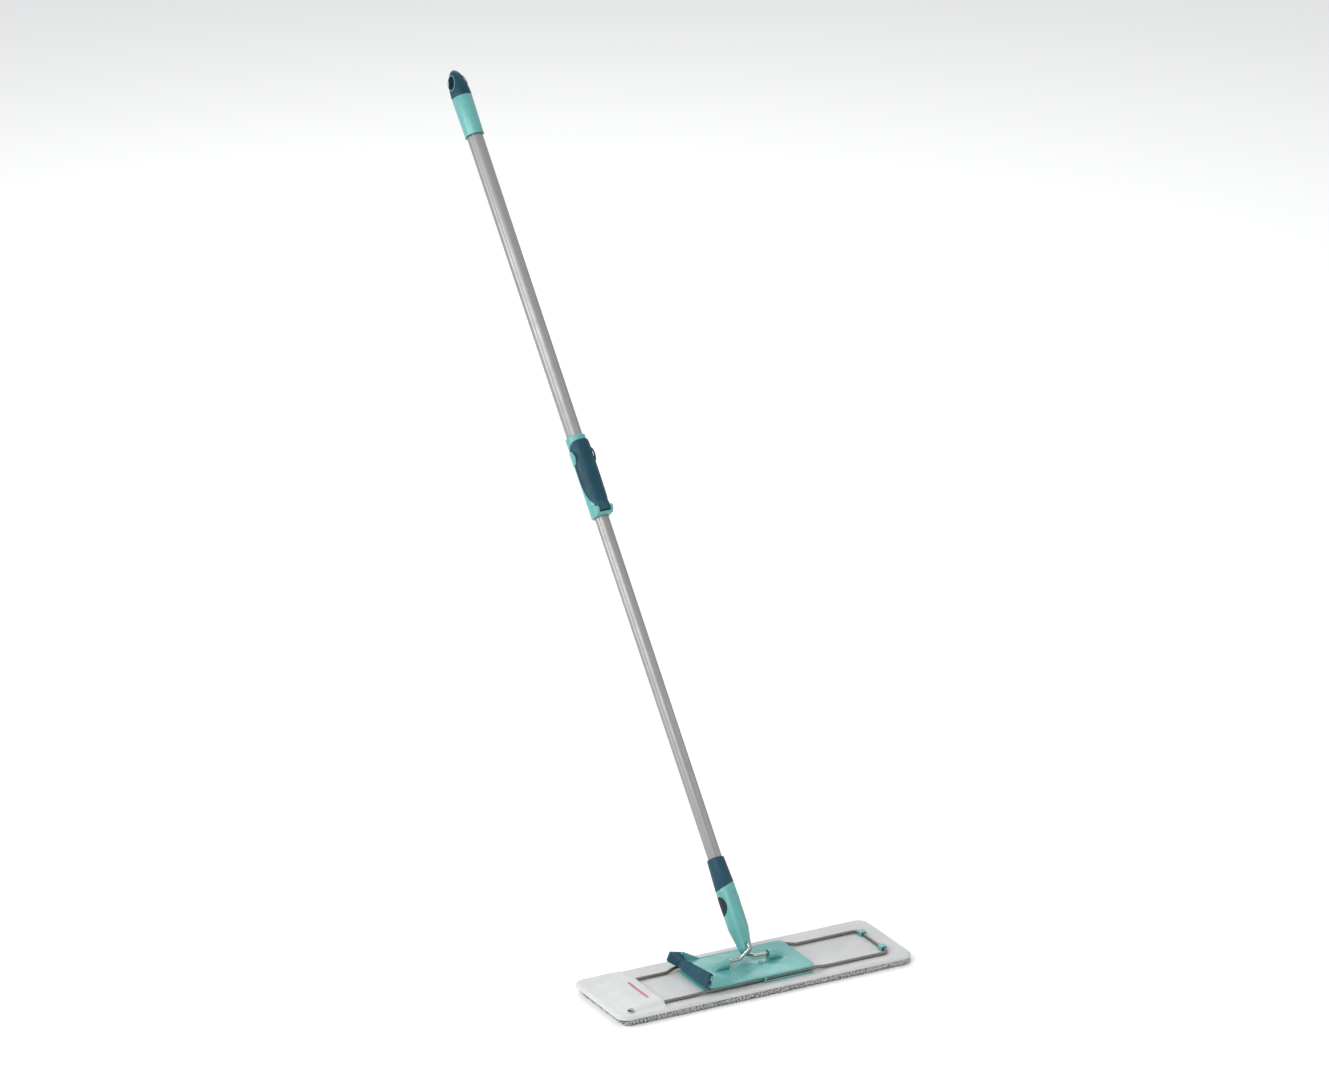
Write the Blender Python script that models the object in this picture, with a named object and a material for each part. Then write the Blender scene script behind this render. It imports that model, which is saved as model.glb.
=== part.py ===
"""Flat mop with a telescopic handle, a wire-hinged head and a clip-on fluffy cover.

Metres, +Z up. +X runs along the head, +Y points back, away from the user's front view. The origin lies
on the floor, straight below the axle that joins the handle to the head. The handle is modelled upright
in its own frame, whose +Z runs up the handle from the axle and whose -Y is the handle's front, and
handle_axis leans that frame back. bail_pivot tilts what hangs on the bail a little sideways.
"""

import math

import bmesh
import bpy
from mathutils import Matrix, Vector

# Clearances
GAP = 0.0003                    # between pieces that rest on each other
RUNNING_GAP = 0.0004            # radial, round a turning wire or a sliding tube
ROUND_STEPS = 40                # flats round a turned piece

# Handle, heights measured up the handle from the axle
HANDLE_LEAN = math.radians(37.7)
HANDLE_SIDEWAYS = math.radians(1.2)    # about the bail pivot, towards -X
AXLE_HEIGHT = 0.036
UPPER_TUBE_RADIUS = 0.0120
UPPER_TUBE_WALL = 0.0008
LOWER_TUBE_RADIUS = 0.0105
LOWER_TUBE_WALL = 0.0008
FLUTE_DEPTH = 0.0009            # groove that keeps the tubes from turning in each other
FLUTE_WIDTH = 0.0052
FLUTE_TURN = math.radians(214)  # from +X, so it lies front left
UPPER_TUBE_BOTTOM = 0.716
UPPER_TUBE_TOP = 1.345
LOWER_TUBE_TOP = 0.860
GUIDE_LENGTH = 0.012
GUIDE_STEM = 0.022

# Grip sleeve and hanging cap at the top end
SLEEVE_BOTTOM = UPPER_TUBE_TOP - 0.054
SLEEVE_TOP = UPPER_TUBE_TOP + 0.009
SLEEVE_BOTTOM_RADIUS = 0.0143
SLEEVE_TOP_RADIUS = 0.0154
CAP_HEIGHT = 0.043
CAP_PLUG_LENGTH = 0.026
CAP_FACET_LOW = 0.0160          # half width of the cap between its side facets, at the foot
CAP_FACET_HIGH = 0.0062         # and at the top
CAP_TURN = math.radians(12)     # how far the cap sits turned on the handle, towards the front left
HANG_HOLE_LENGTH = 0.0228
HANG_HOLE_WIDTH = 0.0170
HANG_HOLE_RISE = 0.0232         # hole centre above the sleeve

# Clamp between the two tubes
HOUSING_BOTTOM = UPPER_TUBE_BOTTOM - 0.033
HOUSING_TOP = UPPER_TUBE_BOTTOM + 0.093
HOUSING_RADIUS = 0.0150
EAR_INNER = 0.0096              # half the slot that the lever's foot turns in
EAR_WIDTH = 0.0034
EAR_RADIUS = 0.0085
EAR_NOSE_RADIUS = 0.0053        # rounded front of the ears, about the pin
EAR_RISE = 0.0051               # how far the ears run on up the housing above EAR_RADIUS
LEVER_PIN_HEIGHT = UPPER_TUBE_BOTTOM - 0.0245
LEVER_PIN_FRONT = 0.0163        # pin axis in front of the handle's axis
LEVER_PIN_RADIUS = 0.0015
LEVER_THICKNESS = 0.0022
LEVER_TOP = UPPER_TUBE_BOTTOM + 0.0845
LEVER_SHOULDER = UPPER_TUBE_BOTTOM - 0.014    # where the paddle narrows to its foot
LEVER_BULGE = 0.0006
PADDLE_HALF_ANGLE = math.radians(78)
LEVER_FOOT_RADIUS = 0.0036
LEVER_FOOT_ROOM = 0.0014        # below the foot, down to the rim that joins the ears
NOTCH_HEIGHT = UPPER_TUBE_BOTTOM + 0.0605
NOTCH_RADIUS = 0.0120
NOTCH_BACK = 0.0002             # notch centre behind the handle's axis
NOTCH_LIP = 0.0014
NOTCH_LIP_REACH = 0.0166        # lips of the notches, from the handle's axis
THUMB_PAD_CROWN = 0.0160        # radius of the raised rests inside the notches
FRICTION_PAD_THICKNESS = 0.0012
FRICTION_PAD_LENGTH = 0.0105

# Plug collar and joint cone at the foot of the handle
COLLAR_TOP = 0.151
COLLAR_TOP_RADIUS = 0.0129
COLLAR_FOOT_RADIUS = 0.0149
SPLIT_HEIGHT = 0.108            # parting line between the collar and the cone, on the axis
SPLIT_SLANT = 0.30              # its rise per metre towards +X
TUBE_SEAT = SPLIT_HEIGHT + 0.012 # where the lower tube ends inside the collar
COLLAR_PLUG_LENGTH = 0.022
SPIGOT_RADIUS = 0.0088
SPIGOT_FLAT = 0.0066
SPIGOT_LENGTH = 0.031
CONE_BELLY_HEIGHT = 0.085
CONE_BELLY_RADIUS = 0.0154
CONE_SHOULDER_HEIGHT = 0.044
CONE_SHOULDER_RADIUS = 0.0150
TIP_RADIUS = 0.0101
TIP_HEIGHT = 0.0145             # centre of the rounded tip
BUTTON_HEIGHT = 0.0805
BUTTON_LENGTH = 0.029
BUTTON_WIDTH = 0.0206
BUTTON_INNER = 0.0100           # its inner face, from the handle's axis
BUTTON_TRAVEL = 0.0025
BUTTON_SPRING_RADIUS = 0.0021
BUTTON_SPRING_WIRE = 0.0005
BUTTON_SPRING_HEIGHT = 0.0705
BUTTON_SPRING_LENGTH = 0.0055
BUTTON_SPRING_TURNS = 4

# Steel wire joint
WIRE_RADIUS = 0.0025
WIRE_SIDES_STEP = 3             # bevel resolution of every wire
PIVOT_HEIGHT = TIP_HEIGHT + WIRE_RADIUS    # bail pivot above the axle, up the handle
BAIL_ELBOW = 5 * WIRE_RADIUS            # where the journals bend up to the legs
BAIL_BEND_DROP = 3.06 * WIRE_RADIUS     # below the pivot, where the legs turn outwards
JOURNAL_END = 0.0400
SOCKET_FACE = 0.0330            # inner faces of the sockets

# Centre plate of the head
PLATE_LEFT = -0.088
PLATE_RIGHT = 0.083
PLATE_HALF_WIDTH = 0.0510
PLATE_CORNER = 0.0080
DECK_TOP = 0.0268
DECK_THICKNESS = 0.0026
PLATE_BOTTOM = 0.0157
WALL = 0.0026
LIP_THICKNESS = 0.0022
SOCKET_RADIUS = 0.0080
SOCKET_LENGTH = 0.0270
DIMPLE_RADIUS = 0.0120
DIMPLE_DEPTH = 0.0011
DIMPLE_FRONT = 0.0110
PEG_RADIUS = 0.0034
PEG_HEIGHT = 0.0030
PEG_PLACE = (0.0160, -0.0090)
CHEEK_TOP = 0.0446              # of the front cheek
CHEEK_DROP = 0.0022             # how much lower the back cheek is
CHEEK_SETBACK = 0.0025          # how much further in its outer edge starts
CHEEK_RUN = 0.0330
CHEEK_THICKNESS = 0.0034

# Wire frames, which carry the cover
FRAME_HALF_WIDTH = PLATE_HALF_WIDTH - 0.0070
FRAME_RIGHT = 0.2075
FRAME_LEFT = -0.1960
FRAME_CORNER = 0.0090
BACKING_TOP = 0.0150
FRAME_HEIGHT = BACKING_TOP + WIRE_RADIUS + GAP    # wire centre where it lies on the cover
FRAME_AT_PLATE = 0.0212         # wire centre beside the plate
KINK_LENGTH = 0.0180
HINGE_X = -0.0030
HINGE_STUB_END = 0.0330
HINGE_BOSS_RADIUS = 0.0054
CLIP_PLACES = (FRAME_HALF_WIDTH - 0.0120, 0.0170 - FRAME_HALF_WIDTH)
CLIP_LENGTH = 0.0100
CLIP_HALF_WIDTH = 0.0052
CLIP_TOP = 0.0224

# Foot pedal
PEDAL_PIN_X = PLATE_LEFT + 0.0080
PEDAL_PIN_HEIGHT = 0.0300
PEDAL_PIN_RADIUS = 0.0015
PEDAL_CREST = 0.0490            # at the front end
PEDAL_DIP = 0.0385              # crest just before the press pad
PEDAL_FACE = PLATE_LEFT - 0.0008 # outer face at the crest
PEDAL_FOOT = 0.0266
PEDAL_FOOT_OUT = PLATE_LEFT - 0.0065
PEDAL_LEDGE = 0.0072            # how far the crest rolls in over the pin
PEDAL_LEDGE_FALL = 0.0056
PEDAL_PAD_TOP = 0.0442
PEDAL_PAD_OUT = PLATE_LEFT - 0.0098
PEDAL_PAD_FOOT = 0.0300
PEDAL_PAD_FOOT_OUT = PLATE_LEFT - 0.0142
PEDAL_PAD_LENGTH = 0.0190
PEDAL_PAD_FALL = 0.0040
PEDAL_PAD_ROUNDING = 0.0060
PEDAL_BACK = PLATE_HALF_WIDTH + 0.0090
PEDAL_PANEL = 0.0032
PEDAL_WEB_HALF = 0.0300         # half length of the web that carries the panel on its pin
PEDAL_WEB_DROP = 0.0002
PEDAL_WEB_RISE = 0.0036
PEDAL_SPRING_RADIUS = 0.0023
PEDAL_SPRING_WIRE = 0.0004
PEDAL_SPRING_TURNS = 4

# Cover
COVER_LEFT = FRAME_LEFT - 0.0430
COVER_RIGHT = FRAME_RIGHT + 0.0335
COVER_FRONT = -FRAME_HALF_WIDTH - 0.0190
COVER_BACK = FRAME_HALF_WIDTH + 0.0435
COVER_CORNER = 0.0160
PILE_THICKNESS = 0.0128
BACKING_THICKNESS = 0.0019
POCKET_MOUTH = FRAME_LEFT + 0.0330
POCKET_CLOTH = 0.0014
POCKET_SLOPE = 0.0060
EYELET_PLACE = (COVER_LEFT + 0.0230, COVER_FRONT + 0.0160)
EYELET_OUTER = 0.0072
EYELET_INNER = 0.0042
EYELET_FLANGE = 0.0009


def clear_scene():
    for old in list(bpy.data.objects):
        bpy.data.objects.remove(old)


def material(name, colour, roughness, metallic=0.0):
    made = bpy.data.materials.new(name)
    made.use_nodes = True
    shader = made.node_tree.nodes["Principled BSDF"]
    shader.inputs["Base Color"].default_value = (*colour, 1.0)
    shader.inputs["Roughness"].default_value = roughness
    shader.inputs["Metallic"].default_value = metallic
    return made


def empty(name, location=(0, 0, 0), parent=None):
    made = bpy.data.objects.new(name, None)
    bpy.context.scene.collection.objects.link(made)
    made.empty_display_size = 0.02
    made.parent = parent
    made.location = location
    return made


def add(name, shape, finish=None, parent=None, origin=(0, 0, 0)):
    """Makes the object of a bmesh modelled in its parent's frame, with the object's origin at origin."""
    bmesh.ops.remove_doubles(shape, verts=shape.verts, dist=1e-7)
    bmesh.ops.recalc_face_normals(shape, faces=shape.faces)
    mesh = bpy.data.meshes.new(name)
    shape.to_mesh(mesh)
    shape.free()
    mesh.transform(Matrix.Translation(-Vector(origin)))
    mesh.shade_smooth()
    mesh.set_sharp_from_angle(angle=math.radians(35))
    made = bpy.data.objects.new(name, mesh)
    bpy.context.scene.collection.objects.link(made)
    made.parent = parent
    made.location = origin
    if finish:
        mesh.materials.append(finish)
    return made


def combine(target, other, operation):
    """A live Boolean on target. other becomes a hidden helper."""
    other.hide_render = True
    other.display_type = "WIRE"
    step = target.modifiers.new(f"{operation.title()} {other.name}", "BOOLEAN")
    step.operation = operation
    step.solver = "EXACT"
    step.object = other


def cut(target, *cutters):
    for cutter in cutters:
        combine(target, cutter, "DIFFERENCE")


def join(target, *others):
    for other in others:
        combine(target, other, "UNION")


def turned(profile, steps=ROUND_STEPS, hollow=False):
    """A turned shape about +Z from (radius, height) points. A hollow profile is a closed loop."""
    shape = bmesh.new()
    points = [shape.verts.new((radius, 0, height)) for radius, height in profile]
    ends = zip(points, points[1:] + points[:1]) if hollow else zip(points, points[1:])
    edges = [shape.edges.new(pair) for pair in ends]
    bmesh.ops.spin(
        shape, geom=points + edges, cent=(0, 0, 0), axis=(0, 0, 1),
        angle=math.tau, steps=steps, use_merge=True,
    )
    return shape


def turned_about(profile, direction, place, steps=ROUND_STEPS):
    """A turned solid whose profile heights run along direction from place."""
    shape = turned(profile, steps)
    turn = Vector((0, 0, 1)).rotation_difference(Vector(direction)).to_matrix().to_4x4()
    bmesh.ops.transform(shape, matrix=Matrix.Translation(place) @ turn, verts=shape.verts)
    return shape


def rod(radius, length, direction, place, steps=ROUND_STEPS):
    return turned_about([(0, 0), (radius, 0), (radius, length), (0, length)], direction, place, steps)


def block(low, high, rounding=0.0):
    shape = bmesh.new()
    bmesh.ops.create_cube(shape, size=1.0)
    size = [b - a for a, b in zip(low, high)]
    middle = [(a + b) / 2 for a, b in zip(low, high)]
    bmesh.ops.scale(shape, vec=size, verts=shape.verts)
    bmesh.ops.translate(shape, vec=middle, verts=shape.verts)
    if rounding:
        bmesh.ops.bevel(
            shape, geom=shape.edges[:], offset=rounding, segments=3, profile=0.5, affect="EDGES",
        )
    return shape


def extruded(outline, along):
    """The flat outline, a loop of 3-D points, extruded along a vector."""
    shape = bmesh.new()
    face = shape.faces.new([shape.verts.new(point) for point in outline])
    grown = bmesh.ops.extrude_face_region(shape, geom=[face])
    moved = [item for item in grown["geom"] if isinstance(item, bmesh.types.BMVert)]
    bmesh.ops.translate(shape, vec=along, verts=moved)
    return shape


def about_handle(shape, turn):
    bmesh.ops.rotate(shape, cent=(0, 0, 0), matrix=Matrix.Rotation(turn, 3, "Z"), verts=shape.verts)
    return shape


def lofted(rings, closed=False):
    """A skin over rings of equally many points. Its ends are filled, or joined when closed."""
    shape = bmesh.new()
    loops = [[shape.verts.new(point) for point in ring] for ring in rings]
    pairs = list(zip(loops, loops[1:] + loops[:1])) if closed else list(zip(loops, loops[1:]))
    for first, second in pairs:
        for i in range(len(first)):
            j = (i + 1) % len(first)
            shape.faces.new((first[i], first[j], second[j], second[i]))
    if not closed:
        shape.faces.new(loops[0])
        shape.faces.new(loops[-1])
    return shape


def arc(centre, radius, start, end, steps):
    """Points on an arc in a plane, from one angle in degrees to another."""
    turns = [math.radians(start + (end - start) * i / steps) for i in range(steps + 1)]
    return [(centre[0] + radius * math.cos(t), centre[1] + radius * math.sin(t)) for t in turns]


def rounded_rectangle(left, right, front, back, corner, steps=5):
    inside = (
        ((right - corner, back - corner), 0),
        ((left + corner, back - corner), 90),
        ((left + corner, front + corner), 180),
        ((right - corner, front + corner), 270),
    )
    return [point for centre, start in inside for point in arc(centre, corner, start, start + 90, steps)]


def oval(width, length, steps=28):
    """Points of an ellipse, (across, along)."""
    turns = [math.tau * i / steps for i in range(steps)]
    return [(width / 2 * math.cos(t), length / 2 * math.sin(t)) for t in turns]


def filleted(corners, radius, steps=5):
    """The corner points of a wire with each inner corner replaced by an arc."""
    path = [Vector(corners[0])]
    for before, corner, after in zip(corners, corners[1:], corners[2:]):
        corner = Vector(corner)
        back = (Vector(before) - corner).normalized()
        ahead = (Vector(after) - corner).normalized()
        half = back.angle(ahead) / 2
        reach = radius / math.tan(half)
        centre = corner + (back + ahead).normalized() * radius / math.sin(half)
        start = corner + back * reach - centre
        end = corner + ahead * reach - centre
        axis = start.cross(end)
        sweep = start.angle(end)
        path += [centre + Matrix.Rotation(sweep * i / steps, 3, axis) @ start for i in range(steps + 1)]
    return path + [Vector(corners[-1])]


def wire(name, points, finish, parent=None, radius=WIRE_RADIUS, origin=(0, 0, 0)):
    """A round wire along points, given in the parent's frame."""
    curve = bpy.data.curves.new(name, "CURVE")
    curve.dimensions = "3D"
    curve.bevel_depth = radius
    curve.bevel_resolution = WIRE_SIDES_STEP
    curve.use_fill_caps = True
    line = curve.splines.new("POLY")
    line.points.add(len(points) - 1)
    for spot, point in zip(line.points, points):
        spot.co = (*(Vector(point) - Vector(origin)), 1.0)
    curve.materials.append(finish)
    made = bpy.data.objects.new(name, curve)
    bpy.context.scene.collection.objects.link(made)
    made.parent = parent
    made.location = origin
    return made


def fluted(radius, flute=FLUTE_DEPTH, steps=60):
    """A circle with the anti-twist groove pressed into it."""
    half = FLUTE_WIDTH / 2 / UPPER_TUBE_RADIUS
    turns = [FLUTE_TURN + math.tau * i / steps for i in range(steps)]
    points = []
    for i, turn in enumerate(turns):
        off = math.remainder(math.tau * i / steps, math.tau)
        dip = flute * (0.5 + 0.5 * math.cos(math.pi * off / half)) if abs(off) < half else 0.0
        points.append(((radius - dip) * math.cos(turn), (radius - dip) * math.sin(turn)))
    return points


def tube(name, radius, wall, bottom, top, finish, parent):
    outer = fluted(radius)
    inner = fluted(radius - wall)
    rings = [
        [(x, y, bottom) for x, y in inner],
        [(x, y, bottom) for x, y in outer],
        [(x, y, top) for x, y in outer],
        [(x, y, top) for x, y in inner],
    ]
    return add(name, lofted(rings, closed=True), finish, parent)


def upper_tube(handle, steel):
    tube("upper_tube", UPPER_TUBE_RADIUS, UPPER_TUBE_WALL, UPPER_TUBE_BOTTOM, UPPER_TUBE_TOP, steel, handle)


def lower_tube(handle, steel):
    tube("lower_tube", LOWER_TUBE_RADIUS, LOWER_TUBE_WALL, TUBE_SEAT, LOWER_TUBE_TOP, steel, handle)


def guide_bush(handle, plastic):
    """Plug in the top of the lower tube, with a head that slides in the upper tube."""
    stem = LOWER_TUBE_RADIUS - LOWER_TUBE_WALL - FLUTE_DEPTH - GAP
    head = fluted(UPPER_TUBE_RADIUS - UPPER_TUBE_WALL - GAP)
    seat = LOWER_TUBE_TOP + GAP
    bush = add(
        "guide_bush", extruded([(x, y, seat) for x, y in head], (0, 0, GUIDE_LENGTH)), plastic, handle
    )
    shank = rod(stem, GUIDE_STEM + GUIDE_LENGTH / 2, (0, 0, 1), (0, 0, LOWER_TUBE_TOP - GUIDE_STEM))
    join(bush, add("guide_bush_stem", shank, None, handle))


def grip_sleeve(handle, teal):
    inner = UPPER_TUBE_RADIUS + GAP
    profile = [
        (inner, SLEEVE_BOTTOM),
        (SLEEVE_BOTTOM_RADIUS - 0.0006, SLEEVE_BOTTOM),
        (SLEEVE_BOTTOM_RADIUS, SLEEVE_BOTTOM + 0.0008),
        (SLEEVE_TOP_RADIUS, SLEEVE_TOP - GAP),
        (inner, SLEEVE_TOP - GAP),
    ]
    add("grip_sleeve", turned(profile, hollow=True), teal, handle)


def hang_cap(handle, navy):
    """Domed cap with two slanting side facets and an oval hanging hole through them."""
    plug = UPPER_TUBE_RADIUS - UPPER_TUBE_WALL - FLUTE_DEPTH - GAP
    dome = [
        (SLEEVE_TOP_RADIUS * math.cos(t), SLEEVE_TOP + CAP_HEIGHT * math.sin(t))
        for t in (math.radians(90 * i / 14) for i in range(15))
    ]
    dome[-1] = (0, SLEEVE_TOP + CAP_HEIGHT)
    foot = [(0, SLEEVE_TOP - CAP_PLUG_LENGTH), (plug, SLEEVE_TOP - CAP_PLUG_LENGTH), (plug, SLEEVE_TOP)]
    cap = add("hang_cap", turned(foot + dome), navy, handle)
    far = 0.04
    top = SLEEVE_TOP + CAP_HEIGHT
    for side, word in ((-1, "left"), (1, "right")):
        slope = [
            (side * CAP_FACET_LOW, -far, SLEEVE_TOP),
            (side * far, -far, SLEEVE_TOP),
            (side * far, -far, top + GAP),
            (side * CAP_FACET_HIGH, -far, top + GAP),
        ]
        cut(cap, add(f"cap_facet_{word}", about_handle(extruded(slope, (0, 2 * far, 0)), CAP_TURN), None, handle))
    centre = SLEEVE_TOP + HANG_HOLE_RISE
    hole = [(-far, y, centre + z) for y, z in oval(HANG_HOLE_WIDTH, HANG_HOLE_LENGTH)]
    cut(cap, add("hang_hole", about_handle(extruded(hole, (2 * far, 0, 0)), CAP_TURN), None, handle))


def lever_slot_floor():
    return LEVER_PIN_HEIGHT - LEVER_FOOT_RADIUS - LEVER_FOOT_ROOM


def clamp_housing(handle, teal):
    """Sleeve fixed to the foot of the upper tube, with ears for the lever and a thumb rest on each side."""
    upper_bore = UPPER_TUBE_RADIUS + GAP
    lower_bore = LOWER_TUBE_RADIUS + RUNNING_GAP
    edge = 0.0008
    profile = [
        (0, HOUSING_BOTTOM),
        (HOUSING_RADIUS - edge, HOUSING_BOTTOM),
        (HOUSING_RADIUS, HOUSING_BOTTOM + edge),
        (HOUSING_RADIUS, HOUSING_TOP - edge),
        (HOUSING_RADIUS - edge, HOUSING_TOP),
        (0, HOUSING_TOP),
    ]
    housing = add("clamp_housing", turned(profile), teal, handle)
    ear_outer = EAR_INNER + EAR_WIDTH
    ear_foot = HOUSING_BOTTOM + edge / 2
    brow = [
        (-ear_outer, 0, ear_foot),
        (-ear_outer, 0, LEVER_PIN_HEIGHT + EAR_RADIUS + EAR_RISE),
    ]
    brow += [
        (-ear_outer, -LEVER_PIN_FRONT - y, LEVER_PIN_HEIGHT + z)
        for y, z in arc((0, 0), EAR_NOSE_RADIUS, 90, -55, 10)
    ]
    brow.append((-ear_outer, -HOUSING_RADIUS, ear_foot))
    ears = add("housing_ears", extruded(brow, (2 * ear_outer, 0, 0)), None, handle)
    far = 0.03
    rests = add("housing_thumb_rests", rod(
        NOTCH_RADIUS - 0.0008, 2 * far, (1, 0, 0), (-far, NOTCH_BACK, NOTCH_HEIGHT)), None, handle)
    crown = rod(THUMB_PAD_CROWN, 4 * NOTCH_RADIUS, (0, 0, 1), (0, 0, NOTCH_HEIGHT - 2 * NOTCH_RADIUS))
    combine(rests, add("thumb_rest_crown", crown, None, handle), "INTERSECT")
    join(housing, ears, rests)
    slot = block(
        (-EAR_INNER, -far, lever_slot_floor()),
        (EAR_INNER, -lower_bore * 0.86, LEVER_SHOULDER + GAP),
    )
    bore_low = rod(lower_bore, UPPER_TUBE_BOTTOM - HOUSING_BOTTOM + 0.008, (0, 0, 1), (0, 0, HOUSING_BOTTOM - 0.005))
    bore_high = rod(upper_bore, HOUSING_TOP - UPPER_TUBE_BOTTOM + 0.005, (0, 0, 1), (0, 0, UPPER_TUBE_BOTTOM - GAP))
    pin_hole = rod(LEVER_PIN_RADIUS + GAP, 0.05, (1, 0, 0), (-0.025, -LEVER_PIN_FRONT, LEVER_PIN_HEIGHT), 16)
    cut(
        housing,
        add("lever_slot", slot, None, handle),
        add("lower_tube_bore", bore_low, None, handle),
        add("upper_tube_bore", bore_high, None, handle),
        add("lever_pin_bore", pin_hole, None, handle),
    )


def paddle_half_angle(height):
    """How far round the handle the paddle reaches at a height, rounded off at both ends."""
    top_round = LEVER_TOP - 0.785
    foot_round = 0.745 - LEVER_SHOULDER
    least = math.asin((EAR_INNER - GAP) / (HOUSING_RADIUS + GAP + LEVER_THICKNESS))
    if height > LEVER_TOP - top_round:
        share = math.sqrt(max(0.0, 1 - ((height - LEVER_TOP + top_round) / top_round) ** 2))
        return math.radians(24) + (PADDLE_HALF_ANGLE - math.radians(24)) * share
    if height < LEVER_SHOULDER + foot_round:
        share = math.sqrt(max(0.0, 1 - ((LEVER_SHOULDER + foot_round - height) / foot_round) ** 2))
        return least + (PADDLE_HALF_ANGLE - least) * share
    return PADDLE_HALF_ANGLE


def clamp_lever(handle, navy):
    """Curved paddle over the housing's front, with finger notches and a foot that turns on the pin."""
    inner = HOUSING_RADIUS + GAP
    rough = HOUSING_RADIUS - 0.0008
    rows = 22
    around = 16
    rings = []
    for i in range(rows + 1):
        share = 0.5 - 0.5 * math.cos(math.pi * i / rows)
        height = LEVER_SHOULDER + (LEVER_TOP - LEVER_SHOULDER) * share
        half = paddle_half_angle(height)
        outer = inner + LEVER_THICKNESS + LEVER_BULGE * math.sin(math.pi * share)
        turns = [-half + 2 * half * j / around for j in range(around + 1)]
        ring = [(outer * math.sin(t), -outer * math.cos(t), height) for t in turns]
        ring += [(rough * math.sin(t), -rough * math.cos(t), height) for t in reversed(turns)]
        rings.append(ring)
    pin = (0, -LEVER_PIN_FRONT, LEVER_PIN_HEIGHT)
    lever = add("clamp_lever", lofted(rings), navy, handle, pin)
    half_foot = EAR_INNER - GAP
    face = inner + LEVER_THICKNESS
    foot_outline = [(-half_foot, -LEVER_PIN_FRONT - y, LEVER_PIN_HEIGHT + z)
                    for y, z in arc((0, 0), LEVER_FOOT_RADIUS, 0, -180, 8)]
    foot_outline += [
        (-half_foot, -inner * 0.97, LEVER_SHOULDER + 0.003),
        (-half_foot, -face * 0.99, LEVER_SHOULDER + 0.003),
        (-half_foot, -LEVER_PIN_FRONT - LEVER_FOOT_RADIUS, LEVER_PIN_HEIGHT + 0.008),
    ]
    foot = add("lever_foot", extruded(foot_outline, (2 * half_foot, 0, 0)), None, handle)
    lips = rod(NOTCH_RADIUS + NOTCH_LIP, 2 * NOTCH_LIP_REACH, (1, 0, 0), (-NOTCH_LIP_REACH, NOTCH_BACK, NOTCH_HEIGHT))
    lip_rim = add("lever_notch_lips", lips, None, handle)
    inside = block((-inner * 0.93, -0.03, 0.74), (inner * 0.93, 0.03, 0.81))
    behind = block((-0.03, -0.0035, 0.74), (0.03, 0.03, 0.81))
    cut(lip_rim, add("lip_inside", inside, None, handle), add("lip_behind", behind, None, handle))
    join(lever, foot)
    core = rod(inner, LEVER_TOP - LEVER_SHOULDER + 0.02, (0, 0, 1), (0, 0, LEVER_SHOULDER - GAP))
    notch = rod(NOTCH_RADIUS, 0.06, (1, 0, 0), (-0.03, NOTCH_BACK, NOTCH_HEIGHT))
    bore = rod(LEVER_PIN_RADIUS + GAP, 0.05, (1, 0, 0), (-0.025, -LEVER_PIN_FRONT, LEVER_PIN_HEIGHT), 16)
    join(lever, lip_rim)
    cut(
        lever,
        add("lever_core", core, None, handle),
        add("lever_notches", notch, None, handle),
        add("lever_foot_bore", bore, None, handle),
    )


def lever_pin(handle, steel):
    reach = EAR_INNER + EAR_WIDTH + 0.0004
    pin = rod(LEVER_PIN_RADIUS, 2 * reach, (1, 0, 0), (-reach, -LEVER_PIN_FRONT, LEVER_PIN_HEIGHT), 16)
    add("lever_pin", pin, steel, handle)


def friction_pad(handle, rubber):
    """Small shoe that the lever's foot presses on to the lower tube."""
    near = LOWER_TUBE_RADIUS + GAP
    half = EAR_INNER - 0.0016
    foot = lever_slot_floor() + GAP
    pad = block((-half, -near - FRICTION_PAD_THICKNESS, foot), (half, -near, foot + FRICTION_PAD_LENGTH))
    add("friction_pad", pad, rubber, handle)


def slant(thing, height, slope=SPLIT_SLANT):
    """Tilts the points of a mesh that lie at one height, so its end follows the slanting parting line."""
    for point in thing.data.vertices:
        if abs(point.co.z - height) < 1e-6:
            point.co.z += slope * point.co.x


def tube_collar(handle, navy):
    """Socket for the lower tube, with the spigot below it that plugs into the cone."""
    plug = LOWER_TUBE_RADIUS - LOWER_TUBE_WALL - FLUTE_DEPTH - GAP
    bore = LOWER_TUBE_RADIUS + GAP
    seat = TUBE_SEAT - GAP
    foot = SPLIT_HEIGHT + GAP
    edge = 0.0007
    profile = [
        (0, SPLIT_HEIGHT - SPIGOT_LENGTH),
        (SPIGOT_RADIUS, SPLIT_HEIGHT - SPIGOT_LENGTH),
        (SPIGOT_RADIUS, foot),
        (COLLAR_FOOT_RADIUS, foot),
        (COLLAR_TOP_RADIUS, COLLAR_TOP - edge),
        (COLLAR_TOP_RADIUS - edge, COLLAR_TOP),
        (bore, COLLAR_TOP),
        (bore, seat),
        (plug, seat),
        (plug, seat + COLLAR_PLUG_LENGTH),
        (0, seat + COLLAR_PLUG_LENGTH),
    ]
    collar = add("tube_collar", turned(profile), navy, handle)
    slant(collar, foot)
    flat = block(
        (-0.02, -0.02, SPLIT_HEIGHT - SPIGOT_LENGTH - 0.002),
        (-SPIGOT_FLAT, 0.02, BUTTON_HEIGHT + BUTTON_LENGTH / 2 + 0.001),
    )
    cut(collar, add("spigot_flat", flat, None, handle))


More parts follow.
